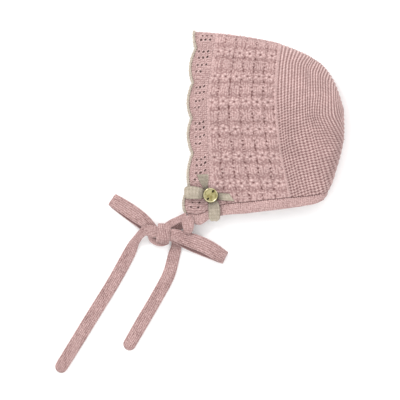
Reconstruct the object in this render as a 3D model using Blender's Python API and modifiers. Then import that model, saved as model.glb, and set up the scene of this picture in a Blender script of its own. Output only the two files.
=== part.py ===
"""A knitted baby bonnet that lies on its side, folded on its centre line, with its ties in a bow.

Metres, +Z up. The face opening is on the left (-X), the neck edge at the bottom (-Y), the top fold at +Y.
The upper layer is called near and the layer on the floor far. Along runs from the face opening to the
back, and a row runs from the near neck edge over the fold to the far neck edge.
"""

import math

import bmesh
import bpy
import numpy as np

MM = 0.001

# The bonnet's own sizes
BONNET_DEPTH = 136 * MM
BONNET_HEIGHT = 163 * MM
PUFF = 30 * MM  # the most that the near layer stands above the floor
FOLD_SHARE = 0.4  # the height of the fold, as a share of the puff beside it
FOLD_REACH_NEAR = 12 * MM  # how far in from the fold the near layer still rises
FOLD_REACH_FAR = 9 * MM
CLEARANCE = 0.4 * MM  # between pieces that are knitted or sewn together
BAND_CLEARANCE = 1.0 * MM  # between the neckband and the edge that it is knitted to

# Knitted walls
LACE_WALL = 1.6 * MM
PANEL_WALL = 2.2 * MM
CROWN_WALL = 2.2 * MM
BAND_WALL = 3.0 * MM

# Where the pieces meet, as shares of the depth
LACE_END = 0.09
FIRST_STARS = 0.126
STARS_STEP = 0.0747
SEAM = 0.551
NECK_CORNER = 0.759
POLE = 0.997

# Lace border
SCALLOP_DEPTH = 3.8 * MM
SCALLOP_WIDTHS = (0.5, 1.0, 1.0, 1.0, 1.0, 0.72)  # from the fold down, the first one is half of a whole one
EYELET_LENGTH = 1.8 * MM
EYELET_WIDTH = 1.5 * MM
EYELET_COLUMNS = (0.027, 0.051, 0.075)
EYELET_ROWS = ((0.20, 3), (0.39, 3), (0.59, 2), (0.78, 2))  # place in the scallop, number of eyelets
EDGING_RADIUS = 0.8 * MM

# Raised stitches
STAR_PITCH = 23.5 * MM
STAR_COLUMNS = 6
STAR_RELIEF = 0.9 * MM
RIDGE_PITCH = 2.75 * MM
RIDGE_RELIEF = 0.5 * MM
BAND_RELIEF = 0.6 * MM

# Ties
STRAP_WIDTH = 12 * MM
STRAP_THICKNESS = 2.6 * MM
KNOT_LEFT_OF_CORNER = 22.7 * MM
KNOT_BELOW_CORNER = 14.6 * MM
RING_REACH = 7.8 * MM  # from the middle of the knot to the middle of the wrap
RING_LEAN = -96  # degrees, the way that the wrap lies over the knot
RING_LAYERS = (0.5, 4.7)  # the lowest and highest strap layers of the wrap
LEFT_LOOP_REACH = 55 * MM
RIGHT_LOOP_REACH = 59 * MM
LEFT_TAIL_REACH = 156 * MM
RIGHT_TAIL_REACH = 108 * MM
STRAP_STEP = 11 * MM

# Ribbon bow and medallion
RIBBON_WIDTH = 10.8 * MM
RIBBON_THICKNESS = 0.6 * MM
BOW_FROM_FRONT = 15.8 * MM
BOW_ABOVE_NECK = 16 * MM
BOW_LIFT = 1.4 * MM  # clears the raised stitches under the bow
RIBBON_LOOP_REACH = 23.5 * MM
RIBBON_STEP = 3.5 * MM
MEDALLION_RADIUS = 6.6 * MM
MEDALLION_THICKNESS = 1.5 * MM
MEDALLION_RIM = 1.1 * MM
MEDALLION_SINK = 0.4 * MM
MEDALLION_HOLE_RADIUS = 0.75 * MM
MEDALLION_HOLE_PLACES = ((2.2 * MM, 3.6 * MM), (-2.4 * MM, -3.4 * MM))

# Sections of the bonnet, front to back. Each point is (along, up), as shares of the depth and the height.
# The hem is the lower edge of the neckband. Puffs are shares of PUFF at the neck, the middle and the fold.
# Pull straightens a row between its points: 0 is a smooth curve and 1 is straight lines.
SECTION_COLUMNS = ("along", "neck", "low", "mid", "high", "fold", "hem", "puffs", "pull")
SECTIONS = (
    (0.000, (-0.040, 0.000), (0.004, 0.264), (0.000, 0.540), (0.012, 0.760), (0.041, 1.000), (-0.017, -0.047),
     (0.30, 0.62, 0.50), 0.0),
    (0.045, (0.046, -0.003), (0.056, 0.292), (0.045, 0.573), (0.059, 0.755), (0.094, 0.996), (0.043, -0.066),
     (0.33, 0.65, 0.53), 0.0),
    (0.090, (0.125, 0.030), (0.102, 0.336), (0.090, 0.606), (0.108, 0.749), (0.149, 0.992), (0.109, -0.033),
     (0.37, 0.69, 0.56), 0.0),
    (0.320, (0.386, 0.065), (0.343, 0.336), (0.320, 0.606), (0.333, 0.769), (0.363, 0.968), (0.376, 0.000),
     (0.50, 0.82, 0.70), 0.0),
    (0.551, (0.647, 0.088), (0.581, 0.347), (0.551, 0.606), (0.558, 0.788), (0.581, 0.931), (0.647, 0.028),
     (0.62, 0.93, 0.82), 0.2),
    (0.637, (0.736, 0.094), (0.644, 0.402), (0.637, 0.623), (0.647, 0.821), (0.680, 0.901), (0.739, 0.040),
     (0.64, 0.96, 0.86), 0.5),
    (0.729, (0.845, 0.107), (0.736, 0.490), (0.729, 0.628), (0.736, 0.804), (0.779, 0.862), (0.835, 0.062),
     (0.66, 0.99, 0.88), 0.6),
    (0.759, (0.894, 0.124), (0.762, 0.523), (0.759, 0.639), (0.762, 0.793), (0.799, 0.850), (0.881, 0.092),
     (0.68, 1.00, 0.89), 0.6),
    (0.828, (0.957, 0.264), (0.822, 0.529), (0.828, 0.650), (0.825, 0.760), (0.855, 0.818), (0.957, 0.264),
     (0.76, 1.00, 0.90), 0.6),
    (0.904, (0.995, 0.402), (0.911, 0.534), (0.904, 0.634), (0.903, 0.711), (0.916, 0.750), (0.995, 0.402),
     (0.84, 0.99, 0.92), 0.5),
    (0.962, (0.999, 0.490), (0.974, 0.551), (0.962, 0.601), (0.959, 0.639), (0.962, 0.667), (0.999, 0.490),
     (0.90, 0.95, 0.92), 0.2),
    (0.997, (0.997, 0.573), (0.997, 0.573), (0.997, 0.573), (0.997, 0.573), (0.997, 0.573), (0.997, 0.573),
     (0.92, 0.92, 0.92), 0.0),
)
ROW_KNOTS = (0.0, 0.27, 0.54, 0.77, 1.0)
PUFF_KNOTS = (0.0, 0.5, 1.0)

# Legs of the bow: the angle from +X in degrees and the reach that along is a share of.
LEGS = {
    "knot": (0.0, STRAP_WIDTH),
    "left loop": (146.6, LEFT_LOOP_REACH),
    "right loop": (-21.5, RIGHT_LOOP_REACH),
    "left tail": (-127.3, LEFT_TAIL_REACH),
    "right tail": (-107.5, RIGHT_TAIL_REACH),
}
# Routes of the straps: a leg, along as a share of its reach, across in strap widths, the height in strap
# thicknesses, and the width and thickness as shares of the strap's.
ROUTE_COLUMNS = ("leg", "along", "across", "layer", "width", "thickness")
NEAR_CORNER_ROUTE = (
    ("knot", 1.76, 1.30, 4.45, 0.62, 1.0),
    ("knot", 1.50, 1.22, 4.40, 0.52, 1.2),
    ("knot", 1.09, 1.02, 4.25, 0.52, 1.2),
    ("knot", 0.60, 0.78, 4.15, 0.55, 1.1),
    ("knot", 0.20, 0.50, 4.10, 0.55, 0.8),
)
CORNER_TAB_ROUTE = (
    ("knot", 1.74, 1.32, 4.45, 0.70, 1.0),
    ("knot", 1.82, 1.00, 4.50, 0.90, 1.0),
    ("knot", 1.86, 0.62, 4.60, 0.90, 1.0),
    ("knot", 1.85, 0.28, 4.62, 0.76, 1.0),
    ("knot", 1.83, -0.06, 4.52, 0.58, 0.9),
)
RIGHT_LOOP_ROUTE = (
    ("knot", 0.11, -0.02, 3.90, 0.80, 0.7),
    ("knot", 0.64, -0.04, 3.90, 0.82, 1.0),
    ("knot", 1.31, -0.26, 3.70, 1.00, 1.0),
    ("right loop", 0.45, 0.26, 3.45, 1.12, 1.0),
    ("right loop", 0.66, 0.23, 3.10, 1.10, 1.0),
    ("right loop", 0.85, 0.11, 2.50, 1.05, 1.0),
    ("right loop", 0.96, 0.03, 1.95, 1.00, 1.0),
    ("right loop", 1.00, 0.00, 1.30, 1.00, 1.0),
    ("right loop", 0.96, -0.03, 0.69, 1.00, 1.0),
    ("right loop", 0.83, -0.01, 0.52, 1.05, 1.0),
    ("right loop", 0.65, 0.00, 0.58, 1.08, 1.0),
    ("knot", 2.14, -0.82, 1.15, 1.08, 1.0),
    ("knot", 1.50, -0.58, 2.10, 0.95, 1.0),
    ("knot", 0.98, -0.36, 3.00, 0.85, 1.0),
    ("knot", 0.56, -0.16, 3.80, 0.80, 1.0),
    ("knot", 0.11, -0.06, 4.00, 0.80, 1.0),
)
LEFT_TAIL_ROUTE = (
    ("knot", -0.19, 0.04, 3.90, 0.75, 0.7),
    ("knot", -0.60, 0.12, 4.05, 0.88, 1.0),
    ("knot", -1.01, 0.19, 4.10, 0.85, 1.0),
    ("knot", -1.37, 0.20, 3.95, 0.74, 1.0),
    ("knot", -1.70, -0.06, 3.10, 0.64, 1.1),
    ("knot", -2.03, -0.46, 1.90, 0.66, 1.1),
    ("knot", -2.27, -0.84, 0.95, 0.80, 1.0),
    ("knot", -2.46, -1.24, 0.56, 0.92, 1.0),
    ("left tail", 0.234, -1.10, 0.52, 0.98, 1.0),
    ("left tail", 0.381, -0.81, 0.52, 1.00, 1.0),
    ("left tail", 0.626, -0.49, 0.52, 1.02, 1.0),
    ("left tail", 0.870, -0.17, 0.52, 1.00, 1.0),
    ("left tail", 1.000, 0.00, 0.52, 0.97, 1.0),
)
KNOT_TURN_ROUTE = (
    ("knot", -0.98, -0.10, 3.85, 0.40, 0.8),
    ("knot", -0.90, -0.42, 3.10, 0.44, 1.0),
    ("knot", -0.55, -0.64, 2.65, 0.52, 1.0),
    ("knot", -0.10, -0.72, 2.65, 0.50, 1.0),
    ("knot", 0.34, -0.60, 2.75, 0.42, 0.9),
)
FAR_TIE_ROUTE = (
    ("knot", 1.53, 1.20, 0.54, 0.66, 1.0),
    ("knot", 1.36, 0.92, 0.62, 0.70, 1.0),
    ("knot", 1.12, 0.60, 1.25, 0.74, 1.0),
    ("knot", 0.84, 0.30, 2.20, 0.68, 1.0),
    ("knot", 0.50, 0.08, 2.72, 0.62, 1.0),
    ("knot", 0.00, 0.02, 2.78, 0.62, 1.0),
    ("knot", -0.48, 0.08, 2.78, 0.64, 1.0),
    ("knot", -0.88, 0.42, 2.80, 0.80, 1.0),
    ("knot", -1.39, 0.89, 2.95, 0.98, 1.0),
    ("left loop", 0.57, -0.04, 3.15, 1.10, 1.0),
    ("left loop", 0.82, -0.04, 2.54, 1.08, 1.0),
    ("left loop", 0.96, -0.02, 1.85, 1.02, 1.0),
    ("left loop", 1.00, 0.00, 1.23, 1.00, 1.0),
    ("left loop", 0.95, 0.05, 0.65, 1.00, 1.0),
    ("left loop", 0.78, 0.10, 0.52, 1.05, 1.0),
    ("left loop", 0.55, 0.16, 0.58, 1.05, 1.0),
    ("knot", -1.39, 0.64, 1.00, 0.95, 1.0),
    ("knot", -0.88, 0.24, 1.50, 0.80, 1.0),
    ("knot", -0.48, 0.03, 1.65, 0.64, 1.0),
    ("knot", 0.00, -0.02, 1.65, 0.60, 1.0),
    ("knot", 0.51, -0.12, 1.62, 0.54, 1.0),
    ("knot", 0.84, -0.46, 1.15, 0.58, 1.0),
    ("knot", 0.94, -1.01, 0.54, 0.80, 1.0),
    ("knot", 0.77, -1.69, 0.52, 0.92, 1.0),
    ("right tail", 0.313, 1.30, 0.52, 0.98, 1.0),
    ("right tail", 0.530, 0.95, 0.52, 1.00, 1.0),
    ("right tail", 0.755, 0.49, 0.52, 1.02, 1.0),
    ("right tail", 1.000, 0.00, 0.52, 0.97, 1.0),
)

# Routes of the ribbon from the middle of the bow: right and up as shares of RIBBON_LOOP_REACH, the layer
# in ribbon layers above the knit, and the width as a share of the ribbon's.
RIBBON_COLUMNS = ("right", "up", "layer", "width")
RIBBON_LAYER = 0.95 * MM
RIBBON_ROUTES = {
    "ribbon_tail_right": ((0.10, 0.02, 0.0, 0.45), (0.42, 0.06, 0.1, 0.60), (0.70, -0.08, 0.1, 0.75),
                          (0.98, -0.26, 0.0, 0.75)),
    "ribbon_tail_up": ((-0.14, 0.12, 0.0, 0.40), (-0.22, 0.32, -0.3, 0.55), (-0.26, 0.55, -0.65, 0.95),
                       (-0.29, 0.80, -0.70, 1.05)),
    "ribbon_loop_left": ((-0.10, 0.03, 1.6, 0.50), (-0.40, 0.07, 1.8, 0.85), (-0.75, 0.09, 1.3, 1.05),
                         (-0.97, 0.10, 1.5, 1.12), (-1.02, 0.10, 2.2, 1.12), (-0.96, 0.10, 2.9, 1.12),
                         (-0.72, 0.09, 3.6, 1.08), (-0.40, 0.07, 3.6, 0.85), (-0.16, 0.04, 2.8, 0.50)),
    "ribbon_loop_down": ((0.03, -0.12, 1.3, 0.50), (0.07, -0.42, 1.3, 0.80), (0.12, -0.78, 1.2, 1.00),
                         (0.16, -1.00, 1.5, 1.05), (0.17, -1.06, 2.2, 1.05), (0.16, -0.99, 2.9, 1.05),
                         (0.12, -0.76, 3.5, 1.02), (0.07, -0.42, 3.3, 0.80), (0.03, -0.20, 2.5, 0.50)),
}

# Half of a flattened oval, as shares of half the width and half the thickness
OVAL = ((1.0, 0.4), (0.62, 1.0), (-0.62, 1.0), (-1.0, 0.4), (-1.0, -0.4), (-0.62, -1.0), (0.62, -1.0), (1.0, -0.4))

COLOURS = {
    "pink_wool": ((0.541, 0.370, 0.355), 0.9, 0.0),
    "beige_yarn": ((0.610, 0.510, 0.430), 0.9, 0.0),
    "beige_ribbon": ((0.510, 0.440, 0.352), 0.7, 0.0),
    "brass": ((0.412, 0.352, 0.178), 0.35, 1.0),
}


def through(knots, values, where, pull=0.0):
    """A smooth curve through the values at the knots, read at the places given, straight beyond its ends."""
    knots = np.asarray(knots, float)
    values = np.asarray(values, float)
    where = np.asarray(where, float)
    rise = np.diff(values, axis=0) / np.diff(knots).reshape((-1,) + (1,) * (values.ndim - 1))
    slopes = np.concatenate((rise[:1], (rise[1:] + rise[:-1]) / 2, rise[-1:]))
    span = np.clip(np.searchsorted(knots, where) - 1, 0, len(knots) - 2)
    length = knots[span + 1] - knots[span]
    share = (where - knots[span]) / length
    inside = np.clip(share, 0, 1)
    shape = (-1,) + (1,) * (values.ndim - 1)
    h, w, beyond = inside.reshape(shape), length.reshape(shape), (share - inside).reshape(shape)
    keep = 1 - pull
    curve = (
        (2 * h**3 - 3 * h**2 + 1) * values[span]
        + (h**3 - 2 * h**2 + h) * w * slopes[span] * keep
        + (3 * h**2 - 2 * h**3) * values[span + 1]
        + (h**3 - h**2) * w * slopes[span + 1] * keep
    )
    end_slope = np.where(beyond > 0, slopes[span + 1], slopes[span])
    return curve + beyond * w * end_slope


def column(name):
    return [section[SECTION_COLUMNS.index(name)] for section in SECTIONS]


ALONGS = column("along")
PLAN_SIZE = np.array((BONNET_DEPTH, BONNET_HEIGHT))
PLAN_POINTS = np.stack([np.array(column(name)) for name in ("neck", "low", "mid", "high", "fold", "hem")], 1)
PLAN_POINTS = PLAN_POINTS * PLAN_SIZE


def section_points(along):
    """The six plan points of the section at one place along the bonnet."""
    return through(ALONGS, PLAN_POINTS, [along])[0]


def fold_outline():
    """The closed edge in plan: the top fold, the back, and the back corner down to the hem."""
    alongs = np.linspace(0, POLE, 140)
    top = [section_points(along)[4] for along in alongs]
    back = [section_points(along)[0] for along in alongs[::-1] if along > NECK_CORNER]
    corner = [section_points(NECK_CORNER)[0], section_points(NECK_CORNER)[5]]
    return np.array(top + back + corner)


OUTLINE = fold_outline()


def distance_to_fold(plan):
    start, step = OUTLINE[:-1], np.diff(OUTLINE, axis=0)
    reach = np.maximum((step**2).sum(1), 1e-12)
    share = np.clip(((plan[:, None] - start) * step).sum(2) / reach, 0, 1)
    return np.linalg.norm(plan[:, None] - start - share[..., None] * step, axis=2).min(1)


def rounding(share):
    """A quarter of a circle: 0 at the fold and 1 from a share of 1 on."""
    return np.sqrt(1 - (1 - np.clip(share, 0, 1)) ** 2)


def lift(plan, puff):
    """The near and far layers over plan points where the bonnet stands puff high."""
    away = distance_to_fold(plan)
    near = puff * (FOLD_SHARE + (1 - FOLD_SHARE) * rounding(away / FOLD_REACH_NEAR))
    far = puff * FOLD_SHARE * (1 - rounding(away / FOLD_REACH_FAR))
    return np.column_stack((plan, near)), np.column_stack((plan, far))


def resample(points, shares):
    """Points at shares of the length of a line."""
    steps = np.linalg.norm(np.diff(points, axis=0), axis=1)
    lengths = np.concatenate(([0], np.cumsum(steps)))
    places = np.asarray(shares) * lengths[-1]
    return np.stack([np.interp(places, lengths, points[:, axis]) for axis in range(3)], 1)


def both_layers(near, far, turns):
    """A line up the near layer and back on the far layer. At 0.5 of a turn it is on the fold."""
    turns = np.asarray(turns)
    on_near = resample(near, np.clip(turns * 2, 0, 1))
    on_far = resample(far[::-1], np.clip(turns * 2 - 1, 0, 1))
    return np.where((turns <= 0.5)[:, None], on_near, on_far)


def row(along, turns):
    """One row of knitting, from the near neck edge over the fold to the far neck edge."""
    points = section_points(along)[:5]
    shares = 0.5 - 0.5 * np.cos(np.linspace(0, math.pi, 90))
    pull = np.interp(along, ALONGS, column("pull"))
    plan = through(ROW_KNOTS, points, shares, pull)
    puffs = through(ALONGS, np.array(column("puffs")), [along])[0] * PUFF
    return both_layers(*lift(plan, through(PUFF_KNOTS, puffs, shares)), turns)


def rows(alongs, turns):
    """A net of points, one row for each place along the bonnet. A place may differ from turn to turn."""
    alongs = np.asarray(alongs, float)
    if alongs.ndim == 1:
        return np.stack([row(along, turns) for along in alongs])
    net = np.empty(alongs.shape + (3,))
    for place, turn in np.ndindex(alongs.shape):
        net[place, turn] = row(alongs[place, turn], turns[turn : turn + 1])[0]
    return net


def outward(net):
    """The directions that point out of the bonnet at the points of a net."""
    normals = np.cross(np.gradient(net, axis=0), np.gradient(net, axis=1))
    sizes = np.linalg.norm(normals, axis=2, keepdims=True)
    return np.where(sizes > 1e-12, normals / np.maximum(sizes, 1e-12), (1.0, 0.0, 0.0))


def raise_relief(net, heights):
    """Raises a net by the heights of its stitches, pressed flat where it lies on the floor."""
    raised = net + outward(net) * heights[..., None]
    raised[..., 2] = np.maximum(raised[..., 2], 0)
    return raised


def mesh_object(name, bm, material, collection, parent, smooth=True):
    mesh = bpy.data.meshes.new(name)
    bm.to_mesh(mesh)
    bm.free()
    if smooth:
        mesh.shade_smooth()
        mesh.set_sharp_from_angle(angle=math.radians(50))
    mesh.materials.append(material)
    piece = bpy.data.objects.new(name, mesh)
    piece.parent = parent
    collection.objects.link(piece)
    return piece


def knit(name, net, wall, material, collection, parent, open_at=lambda place, turn: False):
    """A knitted piece: a net of points made into faces, its doubled points joined, and a wall inside it."""
    bm = bmesh.new()
    places, turns = net.shape[:2]
    verts = [[bm.verts.new(net[place, turn]) for turn in range(turns)] for place in range(places)]
    for place in range(places - 1):
        for turn in range(turns - 1):
            if not open_at(place, turn):
                bm.faces.new((verts[place][turn], verts[place + 1][turn],
                              verts[place + 1][turn + 1], verts[place][turn + 1]))
    bmesh.ops.remove_doubles(bm, verts=bm.verts, dist=0.02 * MM)
    piece = mesh_object(name, bm, material, collection, parent)
    solidify = piece.modifiers.new("wall", "SOLIDIFY")
    solidify.thickness = wall
    solidify.offset = -1
    return piece


def scallop_turns():
    """The turns of the border's lines with, for each, its place in its scallop, from 0 to 1."""
    half_length = EYELET_LENGTH / 2 / (2 * BONNET_HEIGHT) * (2 * sum(SCALLOP_WIDTHS))
    marks = [0.0]
    for place, _ in EYELET_ROWS:
        marks += [place - half_length, place + half_length]
    unit = 0.5 / sum(SCALLOP_WIDTHS)
    starts = 0.5 + unit * np.cumsum((SCALLOP_WIDTHS[0],) + SCALLOP_WIDTHS[1:-1])
    widths = unit * np.array(SCALLOP_WIDTHS[1:])
    middle = [(0.5 + unit * SCALLOP_WIDTHS[0] * (2 * mark - 1), mark) for mark in marks]
    lower = [(start + width * mark, mark) for start, width in zip(starts, widths) for mark in marks]
    near = [(1 - turn, mark) for turn, mark in lower] + [(0.0, 0.0)]
    lines = near[::-1][:1] + sorted(near[:-1]) + middle + lower + [(1.0, 0.0)]
    return np.array([turn for turn, _ in lines]), np.array([mark for _, mark in lines])


def scallop_reach(marks):
    return SCALLOP_DEPTH * np.sin(math.pi * np.clip(marks, 0, 1)) ** 0.8


def in_front(reach, turns):
    """The place along the bonnet that lies a reach in front of the front edge, at each turn."""
    stretch = np.linalg.norm(np.diff(rows((0.0, LACE_END / 2), turns), axis=0)[0], axis=1) / (LACE_END / 2)
    return -reach / stretch


def make_lace_border(material, collection, parent):
    turns, marks = scallop_turns()
    half_width = EYELET_WIDTH / 2 / BONNET_DEPTH
    inner = [place + side * half_width for place in EYELET_COLUMNS for side in (-1, 1)]
    inner.append(LACE_END - CLEARANCE / 2 / BONNET_DEPTH)
    edge = in_front(scallop_reach(marks), turns)
    alongs = np.vstack([edge] + [np.full(len(turns), place) for place in inner])
    counts = {round(place, 3): count for place, count in EYELET_ROWS}
    middles = (turns[1:] + turns[:-1]) / 2

    def is_eyelet(place, turn):
        low, high = sorted((marks[turn], marks[turn + 1]))
        count = counts.get(round((low + high) / 2, 3), 0)
        return high > low > 0 and place % 2 == 1 and place // 2 < count and 0 < middles[turn] < 1

    return knit("lace_border", rows(alongs, turns), LACE_WALL, material, collection, parent, is_eyelet)


def make_scallop_edging(material, collection, parent):
    turns, marks = scallop_turns()
    turns, marks = turns[::2], marks[::2]
    reach = scallop_reach(marks) + EDGING_RADIUS + 2.5 * CLEARANCE
    place = in_front(reach, turns)
    alongs = np.vstack((place, place + LACE_END / 10))
    net = rows(alongs, turns)
    path = (net - outward(net) * LACE_WALL / 2)[0]
    path[:, 2] = np.maximum(path[:, 2], EDGING_RADIUS)
    curve = bpy.data.curves.new("scallop_edging", "CURVE")
    curve.dimensions = "3D"
    curve.bevel_depth = EDGING_RADIUS
    curve.bevel_resolution = 1
    curve.use_fill_caps = True
    spline = curve.splines.new("POLY")
    spline.points.add(len(path) - 1)
    for point, place in zip(spline.points, path):
        point.co = (*place, 1)
    curve.materials.append(material)
    piece = bpy.data.objects.new("scallop_edging", curve)
    piece.parent = parent
    collection.objects.link(piece)
    return piece


def make_star_panel(material, collection, parent):
    """The panel of star stitches: raised at each star and lower between them."""
    gap = CLEARANCE / 2 / BONNET_DEPTH
    stars = FIRST_STARS + STARS_STEP * np.arange(0, STAR_COLUMNS, 0.5)
    alongs = np.concatenate(([LACE_END + gap], stars, [SEAM - gap]))
    middle_row = row((LACE_END + SEAM) / 2, np.linspace(0, 1, 200))
    loop_length = np.linalg.norm(np.diff(middle_row, axis=0), axis=1).sum()
    half_pitch = STAR_PITCH / 2 / loop_length
    count = int(0.5 / half_pitch)
    steps = np.arange(-count, count + 1)
    turns = np.concatenate(([0.0], 0.5 + steps * half_pitch, [1.0]))
    is_star = np.concatenate(([False], steps % 2 == 0, [False]))
    across = np.zeros(len(alongs))
    across[1:-1:2] = 1
    heights = STAR_RELIEF * np.outer(across, is_star)
    net = raise_relief(rows(alongs, turns), heights)
    return knit("star_panel", net, PANEL_WALL, material, collection, parent)


def crown_alongs(start, end, lines_per_ridge):
    """Places along a stretch of the crown, evenly spaced over its middle line, with lines at each ridge."""
    dense = np.linspace(start, end, 60)
    line = np.stack([row(along, [0.26])[0] for along in dense])
    lengths = np.concatenate(([0], np.cumsum(np.linalg.norm(np.diff(line, axis=0), axis=1))))
    count = max(2, round(lengths[-1] / RIDGE_PITCH)) * lines_per_ridge
    return np.interp(np.linspace(0, lengths[-1], count + 1), lengths, dense)


def make_crown(material, collection, parent):
    """The crown: garter ridges in rows that bend twice on each side and close round the back."""
    before = crown_alongs(SEAM + CLEARANCE / 2 / BONNET_DEPTH, NECK_CORNER, 2)
    behind = crown_alongs(NECK_CORNER, POLE, 2)
    alongs = np.concatenate((before, behind[1:]))
    half = np.array((0.0, 0.07, 0.135, 0.25, 0.37, 0.44))
    turns = np.concatenate((half, [0.5], 1 - half[::-1]))
    heights = np.zeros((len(alongs), len(turns)))
    heights[1:-3:2] = RIDGE_RELIEF
    net = raise_relief(rows(alongs, turns), heights)
    rings = alongs >= NECK_CORNER
    net[rings, -1] = net[rings, 0]
    return knit("crown", net, CROWN_WALL, material, collection, parent)


def make_neckband(material, collection, parent):
    """The smooth band along the neck, from one front corner round the back to the other."""
    dense = np.linspace(0, NECK_CORNER, 80)
    turns = np.concatenate((np.linspace(0, 0.43, 12), [0.465, 0.485, 0.5, 0.515, 0.535], np.linspace(0.57, 1, 12)))
    sections = np.stack([section_points(along) for along in dense])
    puff = through(ALONGS, np.array(column("puffs")), dense)[:, 0] * PUFF
    lines = []
    shares = np.array((0.0, 0.3, 0.7, 1.0))
    drop = np.linalg.norm(sections[:, 5] - sections[:, 0], axis=1)[:, None]
    for share in shares:
        way = (sections[:, 5] - sections[:, 0]) / drop
        plan = sections[:, 0] + way * (BAND_CLEARANCE + (drop - BAND_CLEARANCE) * share)
        lines.append(both_layers(*lift(plan, puff), turns))
    net = np.stack(lines)
    heights = BAND_RELIEF * np.outer(np.sin(math.pi * shares), np.ones(len(turns)))
    return knit("neckband", raise_relief(net, heights), BAND_WALL, material, collection, parent)


def front_corner():
    """The plan point at the front end of the neckband."""
    points = section_points(0)
    return (points[0] + points[5]) / 2


def knot_centre():
    return front_corner() - np.array((KNOT_LEFT_OF_CORNER, KNOT_BELOW_CORNER))


def route_places(route):
    """The points of a strap's route, with the width and thickness at each."""
    centre = knot_centre()
    places = []
    for leg, along, across, layer, width, thickness in route:
        angle, reach = LEGS[leg]
        way = np.array((math.cos(math.radians(angle)), math.sin(math.radians(angle))))
        side = np.array((-way[1], way[0]))
        plan = centre + way * along * reach + side * across * STRAP_WIDTH
        places.append((*plan, layer * STRAP_THICKNESS, width * STRAP_WIDTH, thickness * STRAP_THICKNESS))
    return np.array(places)


def smooth_route(places, step, round_end=False):
    """Stations along a smooth curve through the places, closer together at a rounded end."""
    lengths = np.concatenate(([0], np.cumsum(np.linalg.norm(np.diff(places[:, :3], axis=0), axis=1))))
    counts = np.maximum(1, np.round(np.diff(lengths) / step)).astype(int)
    spans = [np.linspace(start, end, count, endpoint=False)
             for start, end, count in zip(lengths, lengths[1:], counts)]
    where = np.concatenate(spans + [lengths[-1:]])
    radius = places[-1, 3] / 2
    if round_end:
        where = np.concatenate((where[where < lengths[-1] - 1.2 * radius], lengths[-1] - radius * np.array((1, 0.55, 0.2, 0))))
    stations = through(lengths, places, where)
    if round_end:
        left = (lengths[-1] - where) / radius
        stations[:, 3] *= np.maximum(rounding(left), 0.35)
    return stations


def flat_sides(centres, closed=False):
    """The level direction across a strap at each station, kept through a fold."""
    steps = np.roll(centres, -1, 0) - np.roll(centres, 1, 0) if closed else np.gradient(centres, axis=0)
    ways = steps / np.linalg.norm(steps, axis=1, keepdims=True)
    sides = np.column_stack((-ways[:, 1], ways[:, 0], np.zeros(len(ways))))
    level = np.linalg.norm(sides, axis=1)
    first = int(np.argmax(level > 0.5))
    last = sides[first] / level[first]
    for index in range(len(sides)):
        if level[index] > 0.5:
            turn = sides[index] / level[index]
            last = turn if turn @ last > 0 else -turn
        sides[index] = last - ways[index] * (last @ ways[index])
        sides[index] /= np.linalg.norm(sides[index])
    return sides, np.cross(ways, sides)


def loft(name, stations, sides, ups, material, collection, parent, closed=False):
    """A strap: one flattened oval at each station, joined into a closed body."""
    bm = bmesh.new()
    rings = []
    for station, side, up in zip(stations, sides, ups):
        centre, width, thickness = station[:3], station[3], station[4]
        rings.append([bm.verts.new(centre + side * width / 2 * across + up * thickness / 2 * high)
                      for across, high in OVAL])
    count = len(rings)
    for index in range(count if closed else count - 1):
        this, following = rings[index], rings[(index + 1) % count]
        for corner in range(len(OVAL)):
            after = (corner + 1) % len(OVAL)
            bm.faces.new((this[corner], this[after], following[after], following[corner]))
    if not closed:
        bm.faces.new(rings[0])
        bm.faces.new(rings[-1])
    bmesh.ops.recalc_face_normals(bm, faces=bm.faces)
    return mesh_object(name, bm, material, collection, parent)


def make_strap(name, route, material, collection, parent, round_end=False):
    stations = smooth_route(route_places(route), STRAP_STEP, round_end)
    sides, ups = flat_sides(stations[:, :3])
    return loft(name, stations, sides, ups, material, collection, parent)


def make_wrap(name, material, collection, parent):
    """The strap's turn round the knot: a closed band that stands on the floor."""
    count = 20
    low, high = np.array(RING_LAYERS) * STRAP_THICKNESS
    lean = math.radians(RING_LEAN)
    way = np.array((math.cos(lean), math.sin(lean), 0))
    across = np.array((-way[1], way[0], 0))
    stations = []
    for index in range(count):
        angle = 2 * math.pi * index / count
        out = math.copysign(abs(math.cos(angle)) ** 0.6, math.cos(angle)) * RING_REACH
        rise = (low + high) / 2 + math.copysign(abs(math.sin(angle)) ** 0.6, math.sin(angle)) * (high - low) / 2
        place = np.array((*knot_centre(), 0)) + way * out + np.array((0, 0, rise))
        stations.append((*place, STRAP_WIDTH, STRAP_THICKNESS))
    stations = np.array(stations)
    ways = np.roll(stations[:, :3], -1, 0) - np.roll(stations[:, :3], 1, 0)
    ups = np.cross(ways / np.linalg.norm(ways, axis=1, keepdims=True), across)
    return loft(name, stations, np.tile(across, (count, 1)), ups, material, collection, parent, closed=True)


def hide_joiner(piece):
    piece.hide_render = True
    piece.display_type = "WIRE"


def make_near_tie(material, collection, joiners, parent):
    """The near tie: its sewn end hangs as a tab at the corner, and the rest wraps the knot and makes the
    right loop and the left tail."""
    wrap = make_wrap("tie_near", material, collection, parent)
    stretches = (
        ("near_corner_stretch", NEAR_CORNER_ROUTE, False),
        ("corner_tab_stretch", CORNER_TAB_ROUTE, True),
        ("knot_turn_stretch", KNOT_TURN_ROUTE, False),
        ("right_loop_stretch", RIGHT_LOOP_ROUTE, False),
        ("left_tail_stretch", LEFT_TAIL_ROUTE, True),
    )
    for name, route, round_end in stretches:
        stretch = make_strap(name, route, material, joiners, parent, round_end)
        hide_joiner(stretch)
        join = wrap.modifiers.new(name, "BOOLEAN")
        join.operation = "UNION"
        join.object = stretch
        join.use_self = True
    return wrap


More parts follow.
